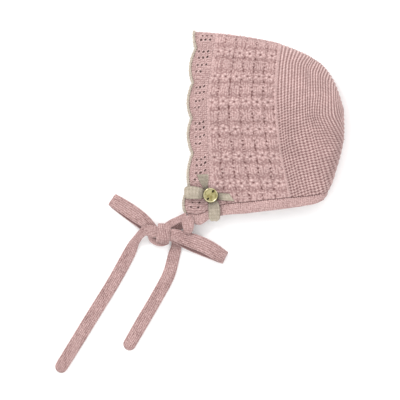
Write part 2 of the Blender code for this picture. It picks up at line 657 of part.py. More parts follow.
def near_height():
    """A function that gives the height of the near layer over a plan point close to the bow."""
    shares = np.linspace(0.01, 0.2, 24)
    net = rows(np.linspace(0, 0.3, 24), shares).reshape(-1, 3)

    def height(plan):
        away = np.linalg.norm(net[:, :2] - plan, axis=1)
        closest = np.argsort(away)[:4]
        weights = 1 / (away[closest] + 0.01 * MM)
        return float((net[closest, 2] * weights).sum() / weights.sum())

    return height


def bow_centre():
    return np.array((BOW_FROM_FRONT, BOW_ABOVE_NECK))


def make_ribbon_bow(material, collection, parent):
    """The four parts of the ribbon bow: two folded loops and two cut ends, over the corner of the lace."""
    height = near_height()
    for name, route in RIBBON_ROUTES.items():
        places = []
        for right, up, layer, width in route:
            plan = bow_centre() + np.array((right, up)) * RIBBON_LOOP_REACH
            base = max(height(plan), height(bow_centre()) - 2 * BOW_LIFT)
            places.append((*plan, base + BOW_LIFT + layer * RIBBON_LAYER, width * RIBBON_WIDTH, RIBBON_THICKNESS))
        stations = smooth_route(np.array(places), RIBBON_STEP)
        sides, ups = flat_sides(stations[:, :3])
        loft(name, stations, sides, ups, material, collection, parent)


def make_medallion(material, collection, joiners, parent):
    """The round metal medallion with a raised rim, and a sewing hole near the rim on each side."""
    edge = 0.3 * MM
    radius, top, face = MEDALLION_RADIUS, MEDALLION_THICKNESS, MEDALLION_THICKNESS - MEDALLION_SINK
    profile = (
        (0, face), (radius - MEDALLION_RIM - edge, face), (radius - MEDALLION_RIM, top),
        (radius - edge, top), (radius, top - edge), (radius, edge), (radius - edge, 0), (0, 0),
    )
    bm = bmesh.new()
    verts = [bm.verts.new((x, 0, z)) for x, z in profile]
    for first, second in zip(verts, verts[1:]):
        bm.edges.new((first, second))
    medallion = mesh_object("medallion", bm, material, collection, parent, smooth=False)
    plan = bow_centre()
    base = near_height()(plan) + BOW_LIFT + 4.2 * RIBBON_LAYER
    medallion.location = (*plan, base)
    screw = medallion.modifiers.new("turn", "SCREW")
    screw.steps = screw.render_steps = 24
    screw.use_merge_vertices = True
    screw.merge_threshold = 0.00001
    for number, (right, up) in enumerate(MEDALLION_HOLE_PLACES):
        bm = bmesh.new()
        bmesh.ops.create_cone(bm, cap_ends=True, segments=10, radius1=MEDALLION_HOLE_RADIUS,
                              radius2=MEDALLION_HOLE_RADIUS, depth=4 * MEDALLION_THICKNESS)
        cutter = mesh_object(f"sewing_hole_{number + 1}", bm, material, joiners, parent, smooth=False)
        cutter.location = (plan[0] + right, plan[1] + up, base)
        hide_joiner(cutter)
        cut = medallion.modifiers.new(cutter.name, "BOOLEAN")
        cut.operation = "DIFFERENCE"
        cut.object = cutter
    return medallion


def make_material(name):
    colour, roughness, metallic = COLOURS[name]
    material = bpy.data.materials.new(name)
    material.use_nodes = True
    shader = material.node_tree.nodes["Principled BSDF"]
    shader.inputs["Base Color"].default_value = (*colour, 1)
    shader.inputs["Roughness"].default_value = roughness
    shader.inputs["Metallic"].default_value = metallic
    material.diffuse_color = (*colour, 1)
    return material


def centre_on_floor(collection, parent):
    """Moves the whole object so that the middle of its box is at the origin and it stands on the floor."""
    bpy.context.view_layer.update()
    depsgraph = bpy.context.evaluated_depsgraph_get()
    corners = []
    for piece in collection.objects:
        if piece.type in {"MESH", "CURVE"}:
            solid = piece.evaluated_get(depsgraph)
            corners += [solid.matrix_world @ vertex.co for vertex in solid.to_mesh().vertices]
            solid.to_mesh_clear()
    corners = np.array(corners)
    low, high = corners.min(0), corners.max(0)
    parent.location = (-(low[0] + high[0]) / 2, -(low[1] + high[1]) / 2, -low[2])


def main():
    for piece in list(bpy.data.objects):
        bpy.data.objects.remove(piece, do_unlink=True)
    collection = bpy.data.collections.new("baby_bonnet")
    joiners = bpy.data.collections.new("joiners_and_cutters")
    bpy.context.scene.collection.children.link(collection)
    bpy.context.scene.collection.children.link(joiners)
    parent = bpy.data.objects.new("bonnet_origin", None)
    collection.objects.link(parent)

    wool = make_material("pink_wool")
    ribbon = make_material("beige_ribbon")
    make_lace_border(wool, collection, parent)
    make_scallop_edging(make_material("beige_yarn"), collection, parent)
    make_star_panel(wool, collection, parent)
    make_crown(wool, collection, parent)
    make_neckband(wool, collection, parent)
    make_near_tie(wool, collection, joiners, parent)
    make_strap("tie_far", FAR_TIE_ROUTE, wool, collection, parent, round_end=True)
    make_ribbon_bow(ribbon, collection, parent)
    make_medallion(make_material("brass"), collection, joiners, parent)
    centre_on_floor(collection, parent)


main()
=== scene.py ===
"""A knitted baby bonnet that lies on its side with its ties in a bow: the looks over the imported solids.

The bonnet's surface is the CAD model's own, read here on a finer net and raised by the stitches. The straps
and ribbons follow the CAD's routes, in places fitted closer to the photograph. Metres, +Z up, in the frame of
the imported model.
"""

import math

import bpy
import numpy as np
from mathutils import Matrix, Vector


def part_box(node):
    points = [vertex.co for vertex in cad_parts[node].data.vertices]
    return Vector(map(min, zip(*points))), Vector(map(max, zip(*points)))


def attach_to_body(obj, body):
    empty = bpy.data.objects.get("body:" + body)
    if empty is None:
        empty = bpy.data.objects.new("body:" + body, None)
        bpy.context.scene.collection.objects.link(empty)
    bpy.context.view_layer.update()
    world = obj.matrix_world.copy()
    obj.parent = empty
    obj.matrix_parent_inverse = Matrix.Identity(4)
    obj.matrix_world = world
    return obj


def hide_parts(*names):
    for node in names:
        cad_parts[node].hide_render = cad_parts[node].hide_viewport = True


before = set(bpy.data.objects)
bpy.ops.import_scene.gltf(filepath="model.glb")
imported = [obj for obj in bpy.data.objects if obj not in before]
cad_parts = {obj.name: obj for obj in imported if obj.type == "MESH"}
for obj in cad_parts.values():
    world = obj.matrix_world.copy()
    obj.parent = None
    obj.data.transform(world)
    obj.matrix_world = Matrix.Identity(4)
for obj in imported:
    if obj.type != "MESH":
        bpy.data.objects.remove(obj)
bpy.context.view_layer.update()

MM = 0.001
TURN = 2 * math.pi
RNG = np.random.default_rng(11)

# Sizes of the CAD model
BONNET_DEPTH = 136 * MM
BONNET_HEIGHT = 163 * MM
PUFF = 30 * MM
FOLD_SHARE = 0.4
FOLD_REACH_NEAR = 12 * MM
FOLD_REACH_FAR = 9 * MM
PANEL_WALL = 2.2 * MM
CROWN_WALL = 2.2 * MM
BAND_WALL = 3.0 * MM
LACE_END = 0.09
SEAM = 0.551
NECK_CORNER = 0.759
POLE = 0.997
SCALLOP_DEPTH = 3.8 * MM
SCALLOP_WIDTHS = (0.5, 1.0, 1.0, 1.0, 1.0, 0.72)
STRAP_WIDTH = 12 * MM
STRAP_THICKNESS = 2.6 * MM
KNOT_LEFT_OF_CORNER = 22.7 * MM
KNOT_BELOW_CORNER = 14.6 * MM
RING_REACH = 7.8 * MM
RING_LEAN = -96
RIBBON_WIDTH = 10.8 * MM
BOW = np.array((15.8 * MM, 16 * MM))
BOW_LIFT = 1.4 * MM
RIBBON_LOOP_REACH = 23.5 * MM
RIBBON_LAYER = 0.95 * MM

# The lace, fitted to the photograph: thinner than in the CAD model, with more and larger eyelets
LACE_WALL = 1.3 * MM
EYELET_LENGTH = 2.2 * MM
EYELET_WIDTH = 1.9 * MM
# rows of eyelets in a scallop: share of the scallop, how many, along of the first
EYELET_ROWS = ((0.205, 3, 0.017), (0.37, 3, 0.019), (0.58, 3, 0.017), (0.76, 2, 0.013))
FOLD_EYELET_ROWS = ((0.74, 3, 0.012), (0.87, 3, 0.006))  # of the scallop on the fold
EYELET_STEP = 0.0245
FAR_EYELET_SHIFT = (EYELET_STEP / 2, 0.007)  # along and turn: the layers don't lie eyelet on eyelet
EYELET_INSETS = (0.011, -0.004)  # of the two scallops next to the fold

# Sections of the bonnet, front to back: along, then (along, up) of the neck, low, mid, high, fold and hem
# points as shares of the depth and height, the puffs at the neck, middle and fold, and the pull.
SECTIONS = (
    (0.000, (-0.040, 0.000), (0.004, 0.264), (0.000, 0.540), (0.012, 0.760), (0.041, 1.000), (-0.017, -0.047),
     (0.30, 0.62, 0.50), 0.0),
    (0.045, (0.046, -0.003), (0.056, 0.292), (0.045, 0.573), (0.059, 0.755), (0.094, 0.996), (0.043, -0.066),
     (0.33, 0.65, 0.53), 0.0),
    (0.090, (0.125, 0.030), (0.102, 0.336), (0.090, 0.606), (0.108, 0.749), (0.149, 0.992), (0.109, -0.033),
     (0.37, 0.69, 0.56), 0.0),
    (0.320, (0.386, 0.065), (0.343, 0.336), (0.320, 0.606), (0.333, 0.769), (0.363, 0.968), (0.376, 0.000),
     (0.50, 0.82, 0.70), 0.0),
    (0.551, (0.647, 0.088), (0.581, 0.347), (0.551, 0.606), (0.558, 0.788), (0.581, 0.931), (0.647, 0.028),
     (0.62, 0.93, 0.82), 0.2),
    (0.637, (0.736, 0.094), (0.644, 0.402), (0.637, 0.623), (0.647, 0.821), (0.680, 0.901), (0.739, 0.040),
     (0.64, 0.96, 0.86), 0.5),
    (0.729, (0.845, 0.107), (0.736, 0.490), (0.729, 0.628), (0.736, 0.804), (0.779, 0.862), (0.835, 0.062),
     (0.66, 0.99, 0.88), 0.6),
    (0.759, (0.894, 0.124), (0.762, 0.523), (0.759, 0.639), (0.762, 0.793), (0.799, 0.850), (0.881, 0.092),
     (0.68, 1.00, 0.89), 0.6),
    (0.828, (0.957, 0.264), (0.822, 0.529), (0.828, 0.650), (0.825, 0.760), (0.855, 0.818), (0.957, 0.264),
     (0.76, 1.00, 0.90), 0.6),
    (0.904, (0.995, 0.402), (0.911, 0.534), (0.904, 0.634), (0.903, 0.711), (0.916, 0.750), (0.995, 0.402),
     (0.84, 0.99, 0.92), 0.5),
    (0.962, (0.999, 0.490), (0.974, 0.551), (0.962, 0.601), (0.959, 0.639), (0.962, 0.667), (0.999, 0.490),
     (0.90, 0.95, 0.92), 0.2),
    (0.997, (0.997, 0.573), (0.997, 0.573), (0.997, 0.573), (0.997, 0.573), (0.997, 0.573), (0.997, 0.573),
     (0.92, 0.92, 0.92), 0.0),
)
ROW_KNOTS = (0.0, 0.27, 0.54, 0.77, 1.0)
PUFF_KNOTS = (0.0, 0.5, 1.0)

# Straps: each leg with its points: along as a share of the leg's reach, across in strap widths, height in
# strap thicknesses, and the width and thickness as shares of the strap's. A leg has its angle and its reach.
# The CAD model's routes, but for the upper half of the right loop and the ends of both tails.
LEGS = {"knot": (0.0, STRAP_WIDTH), "left loop": (146.6, 55 * MM), "right loop": (-21.5, 59 * MM),
        "left tail": (-127.3, 156 * MM), "right tail": (-107.5, 108 * MM)}
NEAR_CORNER_ROUTE = (
    ("knot", (1.76, 1.3, 4.45, 0.62, 1), (1.5, 1.22, 4.4, 0.52, 1.2), (1.09, 1.02, 4.25, 0.52, 1.2),
     (0.6, 0.78, 4.15, 0.55, 1.1), (0.2, 0.5, 4.1, 0.55, 0.8)),
)
CORNER_TAB_ROUTE = (
    ("knot", (1.74, 1.32, 4.45, 0.7, 1), (1.82, 1, 4.5, 0.9, 1), (1.86, 0.62, 4.6, 0.9, 1),
     (1.85, 0.28, 4.62, 0.76, 1), (1.83, -0.06, 4.52, 0.58, 0.9)),
)
RIGHT_LOOP_ROUTE = (
    ("knot", (0.11, -0.02, 3.9, 0.8, 0.7), (0.64, -0.04, 3.9, 0.82, 1), (1.31, -0.26, 3.7, 1, 1)),
    ("right loop", (0.45, 0.28, 3.45, 1.14, 1), (0.66, 0.27, 3.1, 1.16, 1), (0.85, 0.14, 2.5, 1.12, 1),
     (0.96, 0.04, 1.95, 1.02, 1), (1, 0, 1.3, 1, 1), (0.96, -0.03, 0.69, 1, 1),
     (0.83, -0.01, 0.52, 1.05, 1), (0.65, 0, 0.58, 1.08, 1)),
    ("knot", (2.14, -0.82, 1.15, 1.08, 1), (1.5, -0.58, 2.1, 0.95, 1), (0.98, -0.36, 3, 0.85, 1),
     (0.56, -0.16, 3.8, 0.8, 1), (0.11, -0.06, 4, 0.8, 1)),
)
LEFT_TAIL_ROUTE = (
    ("knot", (-0.19, 0.04, 3.9, 0.75, 0.7), (-0.6, 0.12, 4.05, 0.88, 1), (-1.01, 0.19, 4.1, 0.85, 1),
     (-1.37, 0.2, 3.95, 0.74, 1), (-1.7, -0.06, 3.1, 0.64, 1.1), (-2.03, -0.46, 1.9, 0.66, 1.1),
     (-2.27, -0.84, 0.95, 0.8, 1), (-2.46, -1.24, 0.56, 0.92, 1)),
    ("left tail", (0.234, -1.1, 0.52, 0.98, 1), (0.381, -0.81, 0.52, 1, 1), (0.626, -0.49, 0.52, 1.02, 1),
     (0.87, -0.17, 0.52, 1, 1), (1.008, 0, 0.52, 0.97, 1)),
)
KNOT_TURN_ROUTE = (
    ("knot", (-0.98, -0.1, 3.85, 0.4, 0.8), (-0.9, -0.42, 3.1, 0.44, 1), (-0.55, -0.64, 2.65, 0.52, 1),
     (-0.1, -0.72, 2.65, 0.5, 1), (0.34, -0.6, 2.75, 0.42, 0.9)),
)
FAR_TIE_ROUTE = (
    ("knot", (1.53, 1.2, 0.54, 0.66, 1), (1.36, 0.92, 0.62, 0.7, 1), (1.12, 0.6, 1.25, 0.74, 1),
     (0.84, 0.3, 2.2, 0.68, 1), (0.5, 0.08, 2.72, 0.62, 1), (0, 0.02, 2.78, 0.62, 1),
     (-0.48, 0.08, 2.78, 0.64, 1), (-0.88, 0.42, 2.8, 0.8, 1), (-1.39, 0.89, 2.95, 0.98, 1)),
    ("left loop", (0.57, -0.04, 3.15, 1.1, 1), (0.82, -0.04, 2.54, 1.08, 1), (0.96, -0.02, 1.85, 1.02, 1),
     (1, 0, 1.23, 1, 1), (0.95, 0.05, 0.65, 1, 1), (0.78, 0.1, 0.52, 1.05, 1), (0.55, 0.16, 0.58, 1.05, 1)),
    ("knot", (-1.39, 0.64, 1, 0.95, 1), (-0.88, 0.24, 1.5, 0.8, 1), (-0.48, 0.03, 1.65, 0.64, 1),
     (0, -0.02, 1.65, 0.6, 1), (0.51, -0.12, 1.62, 0.54, 1), (0.84, -0.46, 1.15, 0.58, 1),
     (0.94, -1.01, 0.54, 0.8, 1), (0.77, -1.69, 0.52, 0.92, 1)),
    ("right tail", (0.313, 1.3, 0.52, 0.98, 1), (0.53, 0.95, 0.52, 1, 1), (0.755, 0.49, 0.52, 1.02, 1),
     (1.02, -0.04, 0.52, 0.97, 1)),
)

# Ribbon from the middle of the bow: right and up as shares of the loop's reach, layer, width as a share. The
# loops are pinched at their ends and the right tail is shorter than in the CAD model, as in the photograph.
RIBBON_ROUTES = {
    "ribbon_tail_right": ((0.10, 0.01, 0.0, 0.45), (0.36, -0.04, 0.1, 0.58), (0.60, -0.07, 0.1, 0.60),
                          (0.81, -0.08, 0.0, 0.61)),
    "ribbon_tail_up": ((-0.13, 0.12, 0.0, 0.38), (-0.20, 0.33, -0.3, 0.44), (-0.25, 0.55, -0.65, 0.76),
                       (-0.29, 0.80, -0.70, 1.04)),
    "ribbon_loop_left": ((-0.10, 0.03, 1.6, 0.50), (-0.36, 0.07, 1.8, 0.86), (-0.70, 0.10, 1.3, 1.06),
                         (-0.93, 0.10, 1.4, 1.00), (-1.01, 0.10, 2.2, 0.72), (-0.93, 0.10, 2.9, 1.00),
                         (-0.68, 0.10, 3.6, 1.06), (-0.38, 0.07, 3.6, 0.92), (-0.16, 0.04, 2.8, 0.60)),
    "ribbon_loop_down": ((0.06, -0.12, 1.3, 0.60), (0.12, -0.40, 1.3, 0.90), (0.145, -0.72, 1.2, 0.95),
                         (0.145, -0.91, 1.4, 0.88), (0.145, -0.99, 2.2, 0.58), (0.145, -0.91, 2.9, 0.88),
                         (0.145, -0.70, 3.5, 0.96), (0.12, -0.40, 3.3, 0.92), (0.06, -0.20, 2.5, 0.70)),
}
# of the cut ends, as a share of the half width
TAIL_SLANTS = {"ribbon_tail_right": -0.8, "ribbon_tail_up": 0.12}

# Nets of the cloth: points along and round
GRID_ALONG_START = -0.06
GRID_ALONG_COUNT = 400
GRID_TURN_COUNT = 901
LACE_NET = (42, 861)
PANEL_ROWS = 140
CROWN_ROWS_A_RIDGE = 7
BAND_ROWS = 30
BAND_LINES = 9  # across the band, from which its net is made
# stretches of the turns, closer on the near layer than on the far one: start, end and count of each
PANEL_TURNS = ((0, 0.53, 384), (0.53, 1, 223))
CROWN_TURNS = ((0, 0.5, 288), (0.5, 1, 174))
BAND_TURNS = ((0, 0.44, 460), (0.44, 0.56, 80), (0.56, 1, 330))
SEAM_GAP, LACE_GAP = 0.0003, 0.0004  # along, between two pieces of cloth

# Stitches, from the photograph
STAR_FIRST = 0.126  # along, of the first column of stars
STAR_STEP = 0.0747
STAR_LAST = 5  # the number of the last column, from 0
STAR_ROW = 24 * MM
# distances from the fold of the rows of stars, at the first column and at the last
ROWS_FIRST = np.array((0, 22.3, 44.9, 68.4, 93.1, 117.6, 142.3, 166.5)) * MM
ROWS_LAST = np.array((0, 22.4, 41.0, 63.8, 88.0, 112.6, 137.7, 162.0)) * MM
STAR_STRAY = 1.1 * MM
PETAL_REACH = 2.25 * MM
PETAL_SWELL = 0.5 * MM
PETAL_WIDTH = 1.30 * MM
STAR_SIZE = 3.5 * MM
STAR_HOLE = 0.90 * MM
CLUSTER_PLACE = 0.52  # of the way from one row of stars to the next
CLUSTER_SIZE = (4.0 * MM, 3.4 * MM)
CLUSTER_STRAND = (2.2 * MM, 2.9 * MM)
PAIR_APART = 1.7 * MM  # of each small hole from the middle of its pair
PAIR_SIZE = (0.85 * MM, 0.8 * MM)
GROOVE_WIDTH = 0.9 * MM
GROUND_STITCH = (2.3 * MM, 2.25 * MM)
STRIP_END = 0.113
STRIP_STITCH = (2.3 * MM, 2.1 * MM)
WELT_START = 0.533
WELT_DEPTH = 0.0125
WELT_STITCH = 2.1 * MM
PANEL_RELIEF = 1.6 * MM
PANEL_TALLEST = 1.1 * MM
RIDGE_PITCH = 2.75 * MM
PURL_PITCH = 2.5 * MM
CROWN_RELIEF = 1.1 * MM
CROWN_TALLEST = 0.77 * MM
ZIGZAG_START = 35 * MM  # from the fold
ZIGZAG_GROWTH = 50 * MM  # the distance over which it reaches its full size
LACE_STITCH = (1.75 * MM, 1.85 * MM)
LACE_RELIEF = 0.85 * MM
LACE_FLOOR_GAP = 0.8 * MM
EDGING_RADIUS = 1.25 * MM
EDGING_REACH = 1.05 * MM
EDGING_LIFT = 0.60 * MM
EDGING_LOOP = 2.3 * MM
EDGING_LOOP_DEPTH = 0.28 * MM
EDGING_TWIST = 3.2 * MM
EDGING_NET = (1250, 12)
BAND_STITCH = (1.75 * MM, 1.7 * MM)
BAND_RELIEF = 0.40 * MM
BAND_ROUNDING = 0.9 * MM
BAND_TALLEST = 0.85 * MM
BAND_TOOTH = 0.55 * MM
BAND_TOOTH_PITCH = 2.1 * MM
BAND_INNER_GAP = 0.6 * MM
BAND_FIRST_COLUMN = 539  # of points, where the count of the stitches starts
STITCH_WIDTH = 1.6 * MM
STITCH_HEIGHT = 1.9 * MM
CLOTH_GRAIN = 0.03 * MM
STRAP_GRAIN = 0.018 * MM
BAND_GRAIN = 0.02 * MM
# painted shade: the inner side of the cloth has a lower "depth", so it is coloured darker; lower still on the
# lace, to darken what shows through the eyelets
INSIDE_SHADE_DEPTH = 0.45  # the value of "depth" on the cloth's inner side
LACE_INSIDE_SHADE_DEPTH = 0.34
STRAP_RELIEF = 0.42 * MM
STRAP_STEP = 0.42 * MM
RING_LAYERS = (0.5, 4.7)
RING_STATIONS = 110
RIBBON_STEP = 0.45 * MM
RIBBON_HALF_THICK = 0.28 * MM
RIBBON_PLEAT = 0.35 * MM
RIBBON_CURL = 0.25 * MM
RIBBON_RIB = 0.03 * MM
RIBBON_RIB_PITCH = 0.9 * MM
RIBBON_POINTS = 56
# right and up from the middle of the medallion
SEWING_HOLES = ((2.2 * MM, 3.6 * MM), (-2.4 * MM, -3.4 * MM))
SEWING_HOLE_RADIUS = 0.85 * MM
# height of the cutter's middle over the medallion's underside, and its length
SEWING_HOLE_CUT = (3.15 * MM, 6 * MM)
MEDALLION_POINTS = 96

# Floor, light and camera
FLOOR_SIZE = 6.0
FLOOR_DROP = 0.2 * MM
FLOOR_COLOUR = (0.97, 0.97, 0.97, 1)
KEY_PLACE = (-0.7, 0.95, 1.1)
KEY_SIZE = 0.4
KEY_POWER = 11.5
SKY_STRENGTH = 1.32
EYE_PLACE = (0.00006, 0.00237, 3.012)
EYE_LENS = 300


# The bonnet's surface, as in the CAD model

def through(knots, values, where, pull=0.0):
    """A smooth curve through the values at the knots, read at the places given, straight beyond its ends."""
    knots, values, where = (np.asarray(x, float) for x in (knots, values, where))
    rise = np.diff(values, axis=0) / np.diff(knots).reshape((-1,) + (1,) * (values.ndim - 1))
    slopes = np.concatenate((rise[:1], (rise[1:] + rise[:-1]) / 2, rise[-1:]))
    span = np.clip(np.searchsorted(knots, where) - 1, 0, len(knots) - 2)
    length = knots[span + 1] - knots[span]
    share = (where - knots[span]) / length
    inside = np.clip(share, 0, 1)
    shape = (-1,) + (1,) * (values.ndim - 1)
    h, w, beyond = inside.reshape(shape), length.reshape(shape), (share - inside).reshape(shape)
    keep = 1 - pull
    curve = ((2 * h**3 - 3 * h**2 + 1) * values[span] + (h**3 - 2 * h**2 + h) * w * slopes[span] * keep
             + (3 * h**2 - 2 * h**3) * values[span + 1] + (h**3 - h**2) * w * slopes[span + 1] * keep)
    return curve + beyond * w * np.where(beyond > 0, slopes[span + 1], slopes[span])


ALONGS = [section[0] for section in SECTIONS]
PULLS = [section[8] for section in SECTIONS]
PUFFS = np.array([section[7] for section in SECTIONS])
PLAN_POINTS = np.array([section[1:7] for section in SECTIONS]) * (BONNET_DEPTH, BONNET_HEIGHT)


def section_points(along):
    return through(ALONGS, PLAN_POINTS, [along])[0]


def fold_outline():
    alongs = np.linspace(0, POLE, 140)
    top = [section_points(along)[4] for along in alongs]
    back = [section_points(along)[0] for along in alongs[::-1] if along > NECK_CORNER]
    corner = section_points(NECK_CORNER)
    return np.array(top + back + [corner[0], corner[5]])


OUTLINE = fold_outline()  # the top fold and the back, where the layers meet


def distance_to_fold(plan):
    start, step = OUTLINE[:-1], np.diff(OUTLINE, axis=0)
    reach = np.maximum((step**2).sum(1), 1e-12)
    share = np.clip(((plan[:, None] - start) * step).sum(2) / reach, 0, 1)
    return np.linalg.norm(plan[:, None] - start - share[..., None] * step, axis=2).min(1)


def rounding(share):
    return np.sqrt(1 - (1 - np.clip(share, 0, 1)) ** 2)


def lift(plan, puff):
    away = distance_to_fold(plan)
    near = puff * (FOLD_SHARE + (1 - FOLD_SHARE) * rounding(away / FOLD_REACH_NEAR))
    far = puff * FOLD_SHARE * (1 - rounding(away / FOLD_REACH_FAR))
    return np.column_stack((plan, near)), np.column_stack((plan, far))


def lengths_along(points):
    return np.concatenate(([0], np.cumsum(np.linalg.norm(np.diff(points, axis=0), axis=1))))


def resample(points, shares):
    lengths = lengths_along(points)
    places = np.asarray(shares) * lengths[-1]
    return np.stack([np.interp(places, lengths, points[:, axis]) for axis in range(points.shape[1])], 1)


def both_layers(near, far, turns):
    on_near = resample(near, np.clip(turns * 2, 0, 1))
    on_far = resample(far[::-1], np.clip(turns * 2 - 1, 0, 1))
    return np.where((turns <= 0.5)[:, None], on_near, on_far)


def row(along, turns):
    """One row of knitting, from the near neck edge over the fold to the far neck edge."""
    shares = 0.5 - 0.5 * np.cos(np.linspace(0, math.pi, 120))
    plan = through(ROW_KNOTS, section_points(along)[:5], shares, np.interp(along, ALONGS, PULLS))
    puffs = through(ALONGS, PUFFS, [along])[0] * PUFF
    return both_layers(*lift(plan, through(PUFF_KNOTS, puffs, shares)), turns)


def evened(line, passes):
    """Evens out a line of points, ends kept."""
    for _ in range(passes):
        line[1:-1] = (line[:-2] + 2 * line[1:-1] + line[2:]) / 4
    return line


def smooth_rows(grid, passes):
    """Evens out a grid a little across its rows and along them, ends kept."""
    for _ in range(passes):
        evened(grid, 1)
        evened(grid.swapaxes(0, 1), 1)
    return grid


def unit(vectors):
    return vectors / np.maximum(np.linalg.norm(vectors, axis=-1, keepdims=True), 1e-12)


GRID_ALONG = np.linspace(GRID_ALONG_START, POLE, GRID_ALONG_COUNT)
GRID_TURN = np.linspace(0, 1, GRID_TURN_COUNT)
SURFACE = smooth_rows(np.stack([row(along, GRID_TURN) for along in GRID_ALONG]), 3)
OUTWARD = unit(np.cross(np.gradient(SURFACE, axis=0), np.gradient(SURFACE, axis=1)))
# where the rows meet, the cloth faces +X
NEAR_POLE = np.clip((GRID_ALONG - 0.95) / 0.03, 0, 1)[:, None, None]
OUTWARD = unit(OUTWARD * (1 - NEAR_POLE) + NEAR_POLE * (1.0, 0.0, 0.0))
FROM_FOLD = np.stack([lengths_along(line) for line in SURFACE])
FROM_FOLD -= FROM_FOLD[:, [GRID_TURN_COUNT // 2]]


def read(grid, alongs, turns):
    """The values of a grid over the bonnet's surface at places along and turns."""
    a = (alongs - GRID_ALONG[0]) / (GRID_ALONG[1] - GRID_ALONG[0])
    t = turns * (len(GRID_TURN) - 1)
    i = np.clip(np.floor(a).astype(int), 0, len(GRID_ALONG) - 2)
    j = np.clip(np.floor(t).astype(int), 0, len(GRID_TURN) - 2)
    u, v = a - i, t - j
    if grid.ndim == 3:
        u, v = u[..., None], v[..., None]
    return (grid[i, j] * (1 - u) * (1 - v) + grid[i + 1, j] * u * (1 - v)
            + grid[i, j + 1] * (1 - u) * v + grid[i + 1, j + 1] * u * v)


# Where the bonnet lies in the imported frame

def frame_shift():
    low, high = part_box("medallion")
    return np.array(((low[0] + high[0]) / 2 - BOW[0], (low[1] + high[1]) / 2 - BOW[1], 0.0))


SHIFT = frame_shift()


# Stitch heights, 0 in the deepest place and 1 on the highest yarn; as "depth" they also give painted shade
# low and painted highlight high

def chance(*numbers):
    """A number from 0 to 1 that is fixed for each set of whole numbers."""
    total = sum(np.asarray(n) * k for n, k in zip(numbers, (12.9898, 78.233, 37.719, 9.151)))
    value = np.sin(total) * 43758.5453
    return value - np.floor(value)


def hill(distance):
    """A smooth bump that is 1 at distance 0."""
    return np.exp(-(distance**2))


def drift(a, b, seed=0.0):
    """A slow, smooth wander from -1 to 1 over the cloth."""
    return (np.sin(a * 1.7 + 2.1 * np.sin(b * 1.3 + seed))
            + np.sin(b * 2.3 + 1.7 * np.sin(a * 0.9 + 2 * seed))) / 2


def strokes(u, v, lean, spread=1.2, length=0.56, width=0.27, around=1000, stagger=0.0):
    """Short strokes of yarn, one in each cell of a net, off its place and turned a little by chance. lean is
    their usual angle, around the number of cells in a closed round of the first direction, and stagger the
    shift of every other row."""
    best = 0
    for i_step in (-1, 0, 1):
        i = np.floor(u) + i_step
        k = i % around
        shifted = v + stagger * (k % 2)
        for j_step in (-1, 0, 1):
            j = np.floor(shifted) + j_step
            x = u - i - 0.5 - 0.30 * spread * (chance(k, j, 1) - 0.5)
            y = shifted - j - 0.5 - 0.30 * spread * (chance(k, j, 2) - 0.5)
            turn = lean + spread * (chance(k, j, 3) - 0.5)
            far, off = x * np.cos(turn) + y * np.sin(turn), y * np.cos(turn) - x * np.sin(turn)
            stroke = hill(far / length) * hill(off / width) * (0.62 + 0.38 * chance(k, j, 4))
            best = np.maximum(best, stroke)
    return best


def smooth(x):
    """A smooth step from 0 to 1."""
    x = np.clip(x, 0, 1)
    return x * x * (3 - 2 * x)


def garter(ridge, stitch, sway=0.2, shift=0.5):
    """Garter ridges: each runs in a small zigzag of half width sway and is highest where it leans forward,
    and each zigzag lies shift stitches further along than its neighbour's."""
    nearest = np.round(ridge)
    place = stitch + shift * nearest
    off = ridge - nearest - sway * np.sin(TURN * place)
    luck = chance(np.round(place), nearest, 6)
    bump = 1 - 1.2 * sway * np.sin(math.pi * (place - np.round(place))) ** 2
    return hill(off / 0.28) * bump * (0.82 + 0.18 * luck)


# Meshes

def attach(piece, material, replaced=()):
    piece.data.materials.append(material)
    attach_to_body(piece, "root")
    if replaced:
        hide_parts(*replaced)
    return piece


def mesh_piece(name, points, faces, depth, sharp=60):
    """A mesh of the points that the faces use. Edges sharper than sharp degrees are shaded as edges."""
    used = np.unique([v for face in faces for v in face])
    renumber = np.full(len(points), -1)
    renumber[used] = np.arange(len(used))
    lookup = renumber.tolist()
    mesh = bpy.data.meshes.new(name)
    mesh.from_pydata(np.asarray(points)[used].tolist(), [], [[lookup[v] for v in face] for face in faces])
    mesh.shade_smooth()
    if sharp:
        mesh.set_sharp_from_angle(angle=math.radians(sharp))
    # the "depth" attribute, which the materials turn into painted shade and painted highlight
    attribute = mesh.attributes.new("depth", "FLOAT", "POINT")
    attribute.data.foreach_set("value", np.asarray(depth, np.float32)[used])
    piece = bpy.data.objects.new(name, mesh)
    bpy.context.scene.collection.objects.link(piece)
    return piece


def ring_piece(name, rings, depth, sharp=0, closed=False):
    """A mesh from rings of points, with a cap at both ends unless the rings close."""
    index = np.arange(rings.shape[0] * rings.shape[1]).reshape(rings.shape[:2])
    if closed:
        index = np.concatenate((index, index[:1]))
    following = np.roll(index, -1, 1)
    faces = np.stack((index[:-1], following[:-1], following[1:], index[1:]), 2).reshape(-1, 4).tolist()
    if not closed:
        faces += [index[0][::-1].tolist(), index[-1].tolist()]
    return mesh_piece(name, rings.reshape(-1, 3), faces, depth.reshape(-1), sharp)


def flattened(angles, power_x, power_z):
    """A flattened round: x and z from -1 to 1 at the angles. Low powers make it boxy."""
    x, z = np.cos(angles), np.sin(angles)
    return np.sign(x) * np.abs(x) ** power_x, np.sign(z) * np.abs(z) ** power_z


def stretches(parts):
    """Numbers in one stretch after another: start, end and count of each."""
    return np.unique(np.concatenate([np.linspace(*part) for part in parts]))


def coarse(count, step):
    """Every step-th of count numbers, with the last one."""
    marks = list(range(0, count - 1, step))
    if count - 1 - marks[-1] < step / 2 and len(marks) > 1:
        marks.pop()
    return np.array(marks + [count - 1])


